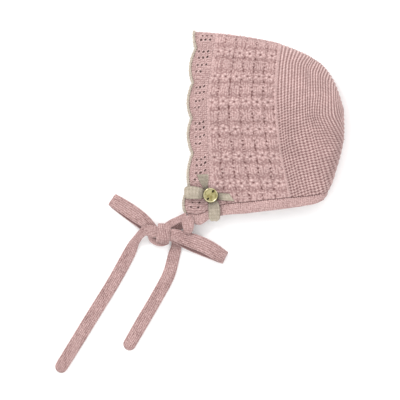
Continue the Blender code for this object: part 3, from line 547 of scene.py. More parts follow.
def shell(name, outer, inner_of, depth, step=4, weld=None):
    """A wall of cloth: a fine outer net, and a coarser inner net joined to it round the rim.

    inner_of gives the inner point of each outer one. weld maps outer vertices onto others, for closed rows.
    """
    rows_count, turns_count = outer.shape[:2]
    index = np.arange(rows_count * turns_count).reshape(rows_count, turns_count)
    a, b = coarse(rows_count, step), coarse(turns_count, step)
    inner = inner_of[np.ix_(a, b)]
    inner_index = rows_count * turns_count + np.arange(len(a) * len(b)).reshape(len(a), len(b))
    points = np.concatenate((outer.reshape(-1, 3), inner.reshape(-1, 3)))
    values = np.concatenate((depth.reshape(-1), np.full(inner_index.size, INSIDE_SHADE_DEPTH)))
    if weld is not None:
        index, inner_index = weld(index, inner_index, a)
    corners = np.stack((index[:-1, :-1], index[1:, :-1], index[1:, 1:], index[:-1, 1:]), 2)
    back = np.stack((inner_index[:-1, :-1], inner_index[:-1, 1:],
                     inner_index[1:, 1:], inner_index[1:, :-1]), 2)
    faces = corners.reshape(-1, 4).tolist() + back.reshape(-1, 4).tolist()
    for line, back_line, marks in (
        (index[0], inner_index[0], b), (index[:, -1], inner_index[:, -1], a),
        (index[-1, ::-1], inner_index[-1, ::-1], turns_count - 1 - b[::-1]),
        (index[::-1, 0], inner_index[::-1, 0], rows_count - 1 - a[::-1]),
    ):
        for k in range(len(marks) - 1):
            fine = line[marks[k] : marks[k + 1] + 1].tolist()
            faces.append(fine + [int(back_line[k + 1]), int(back_line[k])])
    # welded corners fall together
    clean = []
    for face in faces:
        kept = [v for k, v in enumerate(face) if v != face[k - 1]]
        if len(kept) > 2 and len(set(kept)) == len(kept):
            clean.append(kept)
    return mesh_piece(name, points, clean, values)


def raised(alongs, turns, heights, tallest, wall, lowest=None):
    """Outer points raised by the stitches, and the inner points below them, lowest or more above the floor.
    Where the cloth rests, the tops of the stitches are on the floor."""
    base, out = read(SURFACE, alongs, turns), unit(read(OUTWARD, alongs, turns))
    rests = np.clip(-out[..., 2], 0, 1) ** 2
    rough = RNG.normal(0, 1, heights.shape) * CLOTH_GRAIN
    outer = base + out * (heights + rough - tallest * rests)[..., None]
    inner = base - out * wall
    outer[..., 2] = np.maximum(outer[..., 2], 0)
    inner[..., 2] = np.maximum(inner[..., 2], 0.3 * wall if lowest is None else lowest)
    return outer + SHIFT, inner + SHIFT


# Materials

def new_material(name, sockets):
    """A material with the values on its shader's sockets, its node tree and its shader."""
    material = bpy.data.materials.new(name)
    material.use_nodes = True
    shader = material.node_tree.nodes["Principled BSDF"]
    for socket, value in sockets.items():
        shader.inputs[socket].default_value = value
    return material, material.node_tree, shader


def node(tree, kind, **settings):
    made = tree.nodes.new(kind)
    for name, value in settings.items():
        if hasattr(made, name):
            setattr(made, name, value)
        else:
            made.inputs[name].default_value = value
    return made


def ramp(tree, source, stops):
    made = tree.nodes.new("ShaderNodeValToRGB")
    made.color_ramp.interpolation = "EASE"
    while len(made.color_ramp.elements) < len(stops):
        made.color_ramp.elements.new(0.5)
    for element, (place, colour) in zip(made.color_ramp.elements, stops):
        element.position = place
        element.color = (*colour, 1)
    tree.links.new(source, made.inputs[0])
    return made.outputs[0]


def mixed(tree, kind, share, first, second):
    made = tree.nodes.new("ShaderNodeMix")
    made.data_type = "RGBA"
    made.blend_type = kind
    for socket, value in ((made.inputs[0], share), (made.inputs[6], first), (made.inputs[7], second)):
        if isinstance(value, bpy.types.NodeSocket):
            tree.links.new(value, socket)
        elif isinstance(value, (int, float)):
            socket.default_value = value
        else:
            socket.default_value = (*value, 1)
    return made.outputs[2]


def noise(tree, scale, detail=2, roughness=0.5, distortion=0.0):
    """Noise over the object."""
    texture = node(tree, "ShaderNodeTexNoise", Scale=scale, Detail=detail, Roughness=roughness,
                   Distortion=distortion)
    tree.links.new(node(tree, "ShaderNodeTexCoord").outputs["Object"], texture.inputs["Vector"])
    return texture.outputs["Fac"]


def depth_of(tree):
    """The height of the stitches, from the attribute of the mesh, which the materials turn into painted shade
    and painted highlight.
    """
    return node(tree, "ShaderNodeAttribute", attribute_name="depth").outputs["Fac"]


def multiplied(tree, base, source, stops):
    """The colour base, multiplied by a ramp over the source."""
    return mixed(tree, "MULTIPLY", 1.0, base, ramp(tree, source, stops))


def finished(tree, shader, base, height, strength, distance):
    """Links the colour base, and the height as a bump."""
    tree.links.new(base, shader.inputs["Base Color"])
    bump = node(tree, "ShaderNodeBump", Strength=strength, Distance=distance)
    tree.links.new(height, bump.inputs["Height"])
    tree.links.new(bump.outputs["Normal"], shader.inputs["Normal"])


def wool(name, colour, dark, light):
    """Heathered wool: flecks of darker and lighter fibre, a soft nap, painted shade between the stitches and
    painted highlight on their tops.
    """
    material, tree, shader = new_material(name, {
        "Roughness": 0.92, "Specular IOR Level": 0.2, "Sheen Weight": 0.25, "Sheen Roughness": 0.5,
        "Sheen Tint": (1.0, 0.86, 0.84, 1)})
    heather = ramp(tree, noise(tree, 1150, 3, 0.6),
                   ((0.30, dark), (0.48, colour), (0.60, colour), (0.74, light)))
    base = mixed(tree, "MIX", 0.4, heather, colour)
    base = multiplied(tree, base, noise(tree, 70), ((0.3, (0.94, 0.93, 0.93)), (0.7, (1.04, 1.03, 1.03))))
    base = multiplied(tree, base, noise(tree, 620), ((0.34, (0.86, 0.85, 0.85)), (0.50, (1, 1, 1)),
                                                     (0.66, (1.12, 1.13, 1.13))))
    # painted shade and painted highlight: the stitch height in "depth" darkens the low places and lightens
    # the tops
    base = multiplied(tree, base, depth_of(tree), ((0.0, (0.26, 0.17, 0.165)), (0.26, (0.66, 0.60, 0.60)),
                                                   (0.55, (1, 1, 1)), (1.0, (1.40, 1.51, 1.51))))
    finished(tree, shader, base, noise(tree, 2600, 2, 0.7, 1.2), 0.35, 0.0003)
    return material


def ribbon_material():
    """Velvet ribbon: a close short nap over fine cross ribs."""
    material, tree, shader = new_material("beige_ribbon_velvet", {
        "Roughness": 0.8, "Specular IOR Level": 0.2, "Sheen Weight": 0.5, "Sheen Roughness": 0.4,
        "Sheen Tint": (1.0, 0.97, 0.9, 1)})
    nap = noise(tree, 900, 3, 0.6)
    base = ramp(tree, nap, ((0.3, (0.28, 0.235, 0.18)), (0.55, (0.375, 0.325, 0.262)),
                            (0.75, (0.45, 0.40, 0.335))))
    base = multiplied(tree, base, noise(tree, 160), ((0.3, (0.88, 0.87, 0.86)), (0.7, (1.06, 1.06, 1.05))))
    # painted shade: a low "depth" darkens the ribbon, down to near black under the medallion
    base = multiplied(tree, base, depth_of(tree), ((0.0, (0.14, 0.12, 0.10)), (0.5, (0.70,) * 3),
                                                   (1.0, (1.08,) * 3)))
    finished(tree, shader, base, nap, 0.3, 0.0002)
    return material


def brass_material():
    """Old brass: brushed, a little uneven in tone and polish."""
    material, tree, shader = new_material("brass_aged", {"Metallic": 1.0})
    stain = noise(tree, 260, 4, 0.6)
    base = ramp(tree, stain, ((0.35, (0.25, 0.215, 0.085)), (0.6, (0.43, 0.385, 0.20)),
                              (0.8, (0.52, 0.475, 0.29))))
    # patina in the groove; painted shade on the side, the underside and the walls of the sewing holes, where
    # "depth" is low or missing; painted highlight on the raised rim
    base = multiplied(tree, base, depth_of(tree), ((0.0, (0.05, 0.04, 0.03)), (0.5, (1, 1, 1)),
                                                   (1.0, (1.50, 1.55, 1.95))))
    polish = ramp(tree, stain, ((0.3, (0.42,) * 3), (0.7, (0.24,) * 3)))
    tree.links.new(polish, shader.inputs["Roughness"])
    finished(tree, shader, base, noise(tree, 1800, 2, 0.6), 0.12, 0.0002)
    return material


WOOL = wool("pink_wool_knit", (0.450, 0.308, 0.294), (0.26, 0.158, 0.15), (0.62, 0.48, 0.46))
YARN = wool("beige_yarn_plied", (0.40, 0.345, 0.285), (0.30, 0.25, 0.20), (0.50, 0.44, 0.375))
RIBBON = ribbon_material()
BRASS = brass_material()
# painted shade: the walls of the medallion's sewing holes are coloured near black for the shade in them
HOLE_SHADE = new_material("painted_hole_shade", {"Base Color": (0.030, 0.022, 0.012, 1), "Roughness": 0.75,
                                       "Metallic": 0.4})[0]


# Lace border and its edging

STARTS = np.concatenate(([-0.5], np.cumsum(SCALLOP_WIDTHS))) / sum(SCALLOP_WIDTHS)
STARTS[0] = -SCALLOP_WIDTHS[0] / sum(SCALLOP_WIDTHS)


def scallop_of(turns):
    """The number of the scallop at each turn, counted from the fold, and the place in it from 0 to 1."""
    down = np.abs(turns - 0.5) * 2
    number = np.clip(np.searchsorted(STARTS, down, side="right") - 1, 0, len(SCALLOP_WIDTHS) - 1)
    start, end = STARTS[number], STARTS[number + 1]
    return number, np.clip((down - start) / (end - start), 0, 1)


def scallop_reach(marks):
    return SCALLOP_DEPTH * np.sin(math.pi * np.clip(marks, 0, 1)) ** 0.8


def front_stretch(turns):
    """How long the front of the lace is for one unit of along."""
    front, middle = (read(SURFACE, np.full_like(turns, along), turns) for along in (0.0, LACE_END / 2))
    return np.linalg.norm(middle - front, axis=1) / (LACE_END / 2)


def eyelets():
    """The middle of each eyelet: along, turn."""
    found = []
    for number, (start, end) in enumerate(zip(STARTS, STARTS[1:])):
        for mark, count, first in EYELET_ROWS if number else FOLD_EYELET_ROWS:
            down = start + (end - start) * mark
            inset = EYELET_INSETS[number] if number < len(EYELET_INSETS) else 0.0
            for side in (-1, 1):
                for column in range(count):
                    luck = chance(number * 9 + column, mark * 10, side)
                    turn = 0.5 + side * (down / 2 + 0.0013 * (luck - 0.5) - 0.0006 * column)
                    along = first + inset + column * EYELET_STEP + 0.003 * (luck - 0.5)
                    shift = FAR_EYELET_SHIFT if side == 1 else (0, 0)
                    found.append((along + shift[0], turn + shift[1]))
    return np.array(found)


def make_lace():
    turns = np.linspace(0, 1, LACE_NET[1])
    _, marks = scallop_of(turns)
    edge = -scallop_reach(marks) / front_stretch(turns)
    shares = np.linspace(0, 1, LACE_NET[0])[:, None]
    alongs = edge + (LACE_END - LACE_GAP - edge) * shares
    spread = np.broadcast_to(turns, alongs.shape).copy()
    # how far each point is from the nearest eyelet, in eyelet sizes
    wide, long = EYELET_WIDTH / 2 / BONNET_DEPTH, EYELET_LENGTH / 2 / (2 * BONNET_HEIGHT)
    near = np.full(alongs.shape, 9.0)
    moved_a, moved_t = alongs.copy(), spread.copy()
    hole = np.zeros((alongs.shape[0] - 1, alongs.shape[1] - 1), bool)
    for along, turn in eyelets():
        wobble = 0.80 + 0.22 * chance(round(along * 1000), round(turn * 1000))
        wobble -= 0.25 * (abs(turn - 0.5) > 0.43)
        tilt = 0.5 * (chance(round(turn * 1777), round(along * 977)) - 0.5)
        x = (alongs - along) / (wide * wobble) + tilt * (spread - turn) / long
        y = (spread - turn) / (long * wobble)
        r = np.hypot(x, y)
        near = np.minimum(near, r)
        ring = (r > 0.62) & (r < 1.45)
        pull = np.where(ring, 1 / np.maximum(r, 1e-6), 1)
        keep = np.where(r < 1.0, 1.0, np.clip((1.45 - r) / 0.45, 0, 1))
        factor = 1 + (pull - 1) * keep
        moved_a += np.where(ring, (alongs - along) * (factor - 1), 0)
        moved_t += np.where(ring, (spread - turn) * (factor - 1), 0)
        inside = r < 1.0
        hole |= (inside[:-1, :-1].astype(int) + inside[1:, :-1] + inside[:-1, 1:] + inside[1:, 1:]) >= 3
    s = read(FROM_FOLD, alongs, spread)
    x = alongs * BONNET_DEPTH
    strands = strokes(x / LACE_STITCH[0], s / LACE_STITCH[1], 0.5)
    # the rims round the eyelets are raised and given painted highlight; the cloth just round each hole is
    # lower and given painted shade
    rim = hill((near - 1.30) / 0.36)
    value = np.clip(0.21 + 0.74 * strands + 0.34 * rim - 0.36 * hill((near - 0.95) / 0.30), 0, 1)
    border = np.clip(shares / 0.05, 0, 1) ** 0.5
    heights = LACE_RELIEF * value * (0.4 + 0.6 * border)
    outer, inner = raised(moved_a, moved_t, heights, LACE_RELIEF, LACE_WALL, LACE_FLOOR_GAP)
    count = alongs.size
    index = np.arange(count).reshape(alongs.shape)
    corners = np.stack((index[:-1, :-1], index[1:, :-1], index[1:, 1:], index[:-1, 1:]), 2)[~hole]
    faces = np.concatenate((corners, corners[:, ::-1] + count)).tolist()
    edges = {}
    for face in corners.tolist():
        for k in range(4):
            edge_pair = (face[k - 1], face[k])
            if (edge_pair[1], edge_pair[0]) in edges:
                del edges[(edge_pair[1], edge_pair[0])]
            else:
                edges[edge_pair] = True
    faces += [(b, a, a + count, b + count) for a, b in edges]
    points = np.concatenate((outer.reshape(-1, 3), inner.reshape(-1, 3)))
    depth = np.concatenate((value.reshape(-1), np.full(count, LACE_INSIDE_SHADE_DEPTH)))
    attach(mesh_piece("lace_border_knit", points, faces, depth, 55), WOOL, ["lace_border"])


def make_edging():
    """The plied yarn along the scallops, laid in small loops."""
    stations_count, count = EDGING_NET
    turns = np.linspace(0.0, 1.0, stations_count)
    _, marks = scallop_of(turns)
    alongs = -(scallop_reach(marks) + EDGING_REACH) / front_stretch(turns)
    out = unit(read(OUTWARD, alongs, turns))
    path = read(SURFACE, alongs, turns) + out * EDGING_LIFT
    path = smooth_rows(path[:, None].repeat(3, 1), 2)[:, 1]
    loops = np.cos(TURN * lengths_along(path) / EDGING_LOOP)
    forward = unit(read(SURFACE, alongs, turns) - read(SURFACE, alongs + 0.01, turns))
    path = path + forward * (EDGING_LOOP_DEPTH * loops)[:, None]
    path[:, 2] = np.maximum(path[:, 2], EDGING_RADIUS * 1.08)
    path += SHIFT
    ways = unit(np.gradient(path, axis=0))
    side = unit(np.cross(ways, (0.0, 0.0, 1.0)))
    up = np.cross(side, ways)
    lengths = lengths_along(path)[:, None]
    angles = np.linspace(0, TURN, count, endpoint=False)
    swell = (0.86 + 0.14 * np.cos(2 * (angles + TURN * lengths / EDGING_TWIST))
             + 0.08 * np.cos(TURN * lengths / EDGING_LOOP))
    radius = EDGING_RADIUS * swell
    rings = (path[:, None] + side[:, None] * (np.cos(angles) * radius)[..., None]
             + up[:, None] * (np.sin(angles) * radius)[..., None])
    # painted highlight on the swollen plies and painted shade in the twists between them
    depth = 0.42 + 0.40 * (swell - swell.min()) / np.ptp(swell)
    attach(ring_piece("scallop_edging_yarn", rings, depth), YARN, ["scallop_edging"])


# Star panel

def star_rank(alongs, s):
    """The row of stars at each point, counted from the fold, with its share of the way to the next."""
    share = np.clip((alongs - STAR_FIRST) / (STAR_LAST * STAR_STEP), -0.1, 1.1)
    rank = np.zeros_like(s)
    for first, last, first_next, last_next in zip(ROWS_FIRST, ROWS_LAST, ROWS_FIRST[1:], ROWS_LAST[1:]):
        start, end = first + share * (last - first), first_next + share * (last_next - first_next)
        rank += np.clip((np.abs(s) - start) / (end - start), 0, 1)
    return rank


def star_heights(alongs, turns):
    """The star stitch: a ring of petals round a small hole, and a lower cluster half a row below it."""
    s = read(FROM_FOLD, alongs, turns)
    rank = star_rank(alongs, s)
    side = np.where(s < 0, 0, 40)
    column = (alongs - STAR_FIRST) / STAR_STEP
    number = np.clip(np.round(column), 0, STAR_LAST)
    x = (column - number) * STAR_STEP * BONNET_DEPTH
    whole = np.round(rank)
    luck, more, third = (chance(number + a, whole + side, b) for a, b in ((1, 2), (5, 3), (9, 7)))
    y = (rank - whole) * STAR_ROW
    dx, dy = x - (luck - 0.5) * STAR_STRAY, y - (more - 0.5) * STAR_STRAY
    r = np.hypot(dx / 1.08, dy / 0.95)
    angle = np.arctan2(dy, dx)
    petals = 5 + (luck > 0.4) + (more > 0.75)
    swing = petals * angle + TURN * third + 0.7 * np.sin(2 * angle + TURN * luck)
    lobe = (0.5 + 0.5 * np.cos(swing)) * (0.8 + 0.2 * np.sin(3 * angle + TURN * more))
    star = hill((r - PETAL_REACH - PETAL_SWELL * lobe) / PETAL_WIDTH) * (0.22 + 0.78 * lobe)
    inside = hill(r / STAR_SIZE) ** 0.5
    hole = hill(r / STAR_HOLE) * (0.75 + 0.35 * third)
    # the lower cluster between two rows of stars: short upright strands
    below = np.floor(rank)
    y2 = (rank - below - CLUSTER_PLACE) * STAR_ROW
    upright = strokes(x / CLUSTER_STRAND[0] + 0.5, y2 / CLUSTER_STRAND[1], math.pi / 2, 0.7, 0.50, 0.25)
    cluster = hill(x / CLUSTER_SIZE[0]) * hill(y2 / CLUSTER_SIZE[1])
    # pairs of small holes beside it, on the line between two columns
    line = np.round(column + 0.5)
    edge = (column + 0.5 - line) * STAR_STEP * BONNET_DEPTH
    shift = (chance(line, below + side, 4) - 0.5) * PAIR_SIZE[1]
    gaps = sum(hill((y2 + apart - shift) / PAIR_SIZE[1]) for apart in (-PAIR_APART, PAIR_APART))
    pair = hill(edge / PAIR_SIZE[0]) * gaps
    # short grooves beside the stars and above them
    luck3 = chance(line, whole + side, 3)
    bent = edge - (luck3 - 0.5) * 1.2 * MM - 0.25 * y * (chance(line, whole + side, 9) - 0.5)
    upper, lower = y - 4.6 * MM, y + (5.0 + luck3) * MM
    groove = hill(upper / (1.7 * MM)) + hill(lower / (2.1 * MM)) * (0.4 + 0.6 * luck3)
    groove = hill(bent / GROOVE_WIDTH) * np.clip(0.95 * groove + 0.22, 0, 1)
    recess = hill((np.abs(y) - 6.3 * MM) / (1.7 * MM)) * (0.55 + 0.45 * hill(x / (3.4 * MM)))
    # the loops of the yarn all over
    across, down = alongs * BONNET_DEPTH, rank * STAR_ROW
    ground = strokes(across / GROUND_STITCH[0], down / GROUND_STITCH[1], 0.9, 2.4, 0.50, 0.27, stagger=0.5)
    # these values are heights and also "depth": the recesses, grooves and holes are lower and also given
    # painted shade, the strands painted highlight
    value = (0.27 + 0.84 * ground) * (1 - 0.42 * recess)
    inside = 0.8 * inside * (whole < len(ROWS_FIRST) - 1)
    value = value * (1 - inside) + (0.22 + 0.88 * star) * inside + 0.10 * star
    value = value * (1 - 0.7 * cluster) + (0.26 + 0.90 * upright) * 0.7 * cluster
    value = np.clip(value - 0.33 * groove, 0.05, 1.1) * (1 - 0.95 * hole) - 0.55 * pair
    # a paler plain strip beside the lace, a welt at the seam, and a plainer band near the neck
    strip = np.clip((STRIP_END - alongs) / 0.006, 0, 1)
    bumps = garter(s / STRIP_STITCH[0], across / STRIP_STITCH[1])
    value = value * (1 - strip) + strip * (0.30 + 0.30 * bumps + 0.40 * ground)
    welt = np.clip((alongs - WELT_START) / 0.006, 0, 1)
    chain = strokes((alongs - WELT_START) / WELT_DEPTH, s / WELT_STITCH, math.pi / 2, 0.5, 0.5, 0.32)
    value = value * (1 - welt) + welt * (0.42 + 0.50 * chain)
    low = np.clip((rank - 6.45) / 0.15, 0, 1) * (1 - welt)
    value = value * (1 - low) + low * (0.30 + 0.58 * ground - 0.25 * hill(edge / GROOVE_WIDTH))
    return np.clip(value, 0, 1)


def make_panel():
    alongs = np.linspace(LACE_END + SEAM_GAP, SEAM - SEAM_GAP, PANEL_ROWS)
    turns = stretches(PANEL_TURNS)
    a, t = np.meshgrid(alongs, turns, indexing="ij")
    value = star_heights(a, t)
    tall = PANEL_RELIEF * np.clip(0.35 + (a - LACE_END) / 0.03, 0, 1)
    outer, inner = raised(a, t, tall * (value - 0.20), PANEL_TALLEST, PANEL_WALL)
    piece = shell("star_panel_knit", outer, inner, value, 4)
    attach(piece, WOOL, ["star_panel"])


# Crown

def make_crown():
    # the ridges are spaced evenly along the middle of the near side
    dense = np.linspace(SEAM, POLE, 200)
    lengths = lengths_along(read(SURFACE, dense, np.full_like(dense, 0.26)))
    ridges = round(lengths[-1] / RIDGE_PITCH)
    places = np.linspace(0, lengths[-1], ridges * CROWN_ROWS_A_RIDGE + 1)
    alongs = np.interp(places, lengths, dense)
    alongs[0] += SEAM_GAP
    ridge = places / lengths[-1] * ridges
    turns = stretches(CROWN_TURNS)
    a, t = np.meshgrid(alongs, turns, indexing="ij")
    s = read(FROM_FOLD, a, t)
    k = ridge[:, None] + 0.05 * drift(s / (9 * MM), a * 30, 0.7)
    # plain ridges near the fold, zigzags further down
    sway = 0.06 + 0.17 * smooth((np.abs(s) - ZIGZAG_START) / ZIGZAG_GROWTH)
    value = garter(k, s / PURL_PITCH + 0.15 * drift(a * 60, s / (8 * MM), 2.0), sway, 0.30)
    end = np.clip((ridges - 1.5 - ridge) / 3, 0, 1)[:, None]
    value = 0.10 + 0.88 * (value * end + 0.45 * (1 - end))
    outer, inner = raised(a, t, CROWN_RELIEF * (value - 0.30), CROWN_TALLEST, CROWN_WALL)
    rings = alongs >= NECK_CORNER
    for net in (outer, inner):
        net[rings, 0] = net[rings, -1] = (net[rings, 0] + net[rings, -1]) / 2
        net[-1] = net[-1].mean(0)

    def weld(index, inner_index, inner_rows):
        index, inner_index = index.copy(), inner_index.copy()
        index[rings, -1] = index[rings, 0]
        index[-1] = index[-1, 0]
        inner_rings = rings[inner_rows]
        inner_index[inner_rings, -1] = inner_index[inner_rings, 0]
        inner_index[-1] = inner_index[-1, 0]
        return index, inner_index

    piece = shell("crown_knit", outer, inner, value, 4, weld=weld)
    attach(piece, WOOL, ["crown"])


# Neckband

def make_band():
    dense = np.linspace(0, NECK_CORNER, 120)
    turns = stretches(BAND_TURNS)
    sections = np.stack([section_points(along) for along in dense])
    puff = through(ALONGS, PUFFS, dense)[:, 0] * PUFF
    drop = np.linalg.norm(sections[:, 5] - sections[:, 0], axis=1)[:, None]
    way = (sections[:, 5] - sections[:, 0]) / drop
    lines, shares = [], np.linspace(0, 1, BAND_ROWS)
    for share in np.linspace(0, 1, BAND_LINES):
        plan = sections[:, 0] + way * (0.5 * MM + (drop - 0.5 * MM) * share)
        lines.append(both_layers(*lift(plan, puff), turns))
    net = through(np.linspace(0, 1, BAND_LINES), np.stack(lines), shares)
    out = unit(np.cross(np.gradient(net, axis=0), np.gradient(net, axis=1)))
    s = np.stack([lengths_along(line) for line in net])
    s = s - s[:, [BAND_FIRST_COLUMN]]
    across = np.linalg.norm(net - net[:1], axis=2)
    value = strokes(s / BAND_STITCH[0], across / BAND_STITCH[1], 1.0, 1.4)
    round_over = np.sin(math.pi * np.clip(shares, 0, 1)) ** 0.5
    heights = BAND_RELIEF * value + BAND_ROUNDING * (round_over[:, None] - 0.35)
    rests = np.clip(-out[..., 2], 0, 1) ** 2
    rough = RNG.normal(0, BAND_GRAIN, heights.shape)
    outer = net + out * (heights + rough - BAND_TALLEST * rests)[..., None]
    teeth = np.clip(1 - shares / 0.12, 0, 1)[:, None] * (0.5 + 0.5 * np.cos(TURN * s / BAND_TOOTH_PITCH))
    outer = outer + unit(net[:1] - net[3:4]) * (BAND_TOOTH * teeth)[..., None]
    inner = net - out * (BAND_WALL - BAND_INNER_GAP)
    outer[..., 2] = np.maximum(outer[..., 2], 0)
    inner[..., 2] = np.maximum(inner[..., 2], BAND_INNER_GAP)
    # painted shade along the edge where the band meets the bonnet, less on the teeth
    band_join_shade = (1 - np.clip(shares / 0.08, 0, 1))[:, None] * (1 - 0.7 * teeth)
    value = np.clip(0.30 + 0.56 * value - 0.6 * band_join_shade, 0, 1)
    piece = shell("neckband_knit", outer + SHIFT, inner + SHIFT, value, 3)
    attach(piece, WOOL, ["neckband"])


# Ties

def knot_centre():
    points = section_points(0)
    return (points[0] + points[5]) / 2 - np.array((KNOT_LEFT_OF_CORNER, KNOT_BELOW_CORNER))


def route_places(route):
    places = []
    for leg, *marks in route:
        angle, reach = LEGS[leg]
        way = np.array((math.cos(math.radians(angle)), math.sin(math.radians(angle))))
        side = np.array((-way[1], way[0]))
        for along, across, layer, width, thickness in marks:
            plan = knot_centre() + way * along * reach + side * across * STRAP_WIDTH
            places.append((*plan, layer * STRAP_THICKNESS, width * STRAP_WIDTH, thickness * STRAP_THICKNESS))
    return np.array(places)


def stations_of(places, step, round_end=False):
    lengths = lengths_along(places[:, :3])
    fine = through(lengths, places, np.linspace(0, lengths[-1], 1600))
    fine = evened(fine, 6)
    real = lengths_along(fine[:, :3])
    where = np.linspace(0, real[-1], int(real[-1] / step))
    if round_end:
        end = real[-1] - places[-1, 3] * 0.5 * (1 - np.sin(np.linspace(0, math.pi / 2, 14)))
        where = np.concatenate((where[where < end[0] - step / 2], end))
    stations = np.stack([np.interp(where, real, fine[:, k]) for k in range(5)], 1)
    if round_end:
        left = (real[-1] - where) / (places[-1, 3] * 0.5)
        stations[:, 3] *= np.maximum(rounding(left), 0.12)
        stations[:, 4] *= np.maximum(rounding(left * 2.2), 0.25)
    return stations


def flat_sides(centres):
    ways = unit(np.gradient(centres, axis=0))
    sides = np.column_stack((-ways[:, 1], ways[:, 0], np.zeros(len(ways))))
    level = np.linalg.norm(sides, axis=1)
    first = int(np.argmax(level > 0.5))
    last = sides[first] / level[first]
    for index in range(len(sides)):
        if level[index] > 0.5:
            turn = sides[index] / level[index]
            last = turn if turn @ last > 0 else -turn
        sides[index] = last - ways[index] * (last @ ways[index])
        sides[index] /= np.linalg.norm(sides[index])
    sides = evened(sides, 8)
    sides = unit(sides - ways * (sides * ways).sum(1, keepdims=True))
    return sides, np.cross(ways, sides)


def oval():
    """An even round of a flattened oval, as shares of half its width and thickness, and its columns of
    stitches, four points to a column."""
    x, z = flattened(np.linspace(0, TURN, 721), 2 / 2.7, 2 / 2.7)
    shape = np.stack((x * STRAP_WIDTH / 2, z * STRAP_THICKNESS / 2), 1)
    columns = round(lengths_along(shape)[-1] / STITCH_WIDTH)
    even = resample(shape, np.linspace(0, 1, 4 * columns, endpoint=False))
    return even / (STRAP_WIDTH / 2, STRAP_THICKNESS / 2), columns


def knit_strap(name, stations, sides, ups, closed=False):
    shape, columns = oval()
    count = len(shape)
    out = unit(np.stack((shape[:, 0] * STRAP_THICKNESS, shape[:, 1] * STRAP_WIDTH), 1) * (0.35, 1.0))
    lengths = lengths_along(stations[:, :3])
    place = np.arange(count)[None] / 4
    value = strokes(place, lengths[:, None] / STITCH_HEIGHT, math.pi / 2 + 0.35, 0.8, 0.60, 0.30, columns)
    # painted shade where the strap's upper side lies in its own loop, under a higher pass of the same strap
    apart = np.linalg.norm(stations[:, None, :2] - stations[None, :, :2], axis=2)
    higher = stations[None, :, 2] - stations[:, None, 2]
    above = (apart < 0.7 * STRAP_WIDTH) & (higher > 1.4 * STRAP_THICKNESS)
    above &= np.abs(lengths[None] - lengths[:, None]) > 2.8 * STRAP_WIDTH
    loop_shade = np.convolve(above.any(1), np.full(15, 1 / 15), "same")[:, None]
    faces_up = np.clip(shape[None, :, 1] * np.sign(ups[:, 2:3]), 0, 1) * (np.abs(shape[None, :, 0]) < 0.90)
    half_width, half_thick = stations[:, 3] / 2, stations[:, 4] / 2
    belly = 1 + 0.05 * drift(lengths[:, None] / (7 * MM), place * 0.4, len(name))
    x = shape[None, :, 0] * half_width[:, None]
    z = shape[None, :, 1] * half_thick[:, None] * belly
    rise = STRAP_RELIEF * (value - 0.6) + RNG.normal(0, STRAP_GRAIN, value.shape)
    x = x + out[None, :, 0] * rise
    z = z + out[None, :, 1] * rise
    rings = stations[:, None, :3] + sides[:, None] * x[..., None] + ups[:, None] * z[..., None]
    rings[..., 2] = np.maximum(rings[..., 2], 0.0)
    tone = 0.05 * drift(lengths[:, None] / (9 * MM), place * 0.3, len(name))
    tone = tone + 0.07 * (np.abs(shape[None, :, 0]) > 0.93)
    # the stitch heights give painted shade and painted highlight, the side edges are a little lighter, and
    # painted shade darkens the inside of a loop
    depth = np.clip(0.08 + tone + 0.84 * value, 0, 1) * (1 - 0.75 * loop_shade * faces_up)
    return ring_piece(name, rings + SHIFT, depth, closed=closed)


def make_ties():
    for name, route, round_end, replaced in (
        ("tie_near_corner", NEAR_CORNER_ROUTE, False, ["tie_near"]),
        ("tie_near_tab", CORNER_TAB_ROUTE, True, []),
        ("tie_near_right_loop", RIGHT_LOOP_ROUTE, False, []),
        ("tie_near_turn", KNOT_TURN_ROUTE, False, []),
        ("tie_near_left_tail", LEFT_TAIL_ROUTE, True, []),
        ("tie_far_knit", FAR_TIE_ROUTE, True, ["tie_far"]),
    ):
        stations = stations_of(route_places(route), STRAP_STEP, round_end)
        piece = knit_strap(name, stations, *flat_sides(stations[:, :3]))
        attach(piece, WOOL, replaced)
    # the turn round the knot
    low, high = (layer * STRAP_THICKNESS for layer in RING_LAYERS)
    lean = math.radians(RING_LEAN)
    way = np.array((math.cos(lean), math.sin(lean), 0))
    across = np.array((-way[1], way[0], 0))
    out, rise = flattened(np.linspace(0, TURN, 900, endpoint=False), 0.6, 0.6)
    out, rise = out * RING_REACH, (low + high) / 2 + rise * (high - low) / 2
    loop = np.array((*knot_centre(), 0)) + way * out[:, None] + np.array((0, 0, 1)) * rise[:, None]
    loop = np.concatenate((loop, loop[:1]))
    even = resample(loop, np.linspace(0, 1, RING_STATIONS, endpoint=False))
    for _ in range(3):
        even = (np.roll(even, 1, 0) + 2 * even + np.roll(even, -1, 0)) / 4
    stations = np.column_stack((even, np.tile((STRAP_WIDTH, STRAP_THICKNESS), (RING_STATIONS, 1))))
    ways = unit(np.roll(even, -1, 0) - np.roll(even, 1, 0))
    sides = np.tile(across, (RING_STATIONS, 1))
    piece = knit_strap("tie_near_wrap", stations, sides, np.cross(ways, across), closed=True)
    attach(piece, WOOL)


# Ribbon bow and medallion

def near_height(plan):
    shares, alongs = np.meshgrid(np.linspace(0.01, 0.2, 60), np.linspace(0, 0.3, 60))
    net = read(SURFACE, alongs, shares).reshape(-1, 3)
    away = np.linalg.norm(net[:, :2] - plan, axis=1)
    closest = np.argsort(away)[:4]
    weights = 1 / (away[closest] + 0.01 * MM)
    return float((net[closest, 2] * weights).sum() / weights.sum())


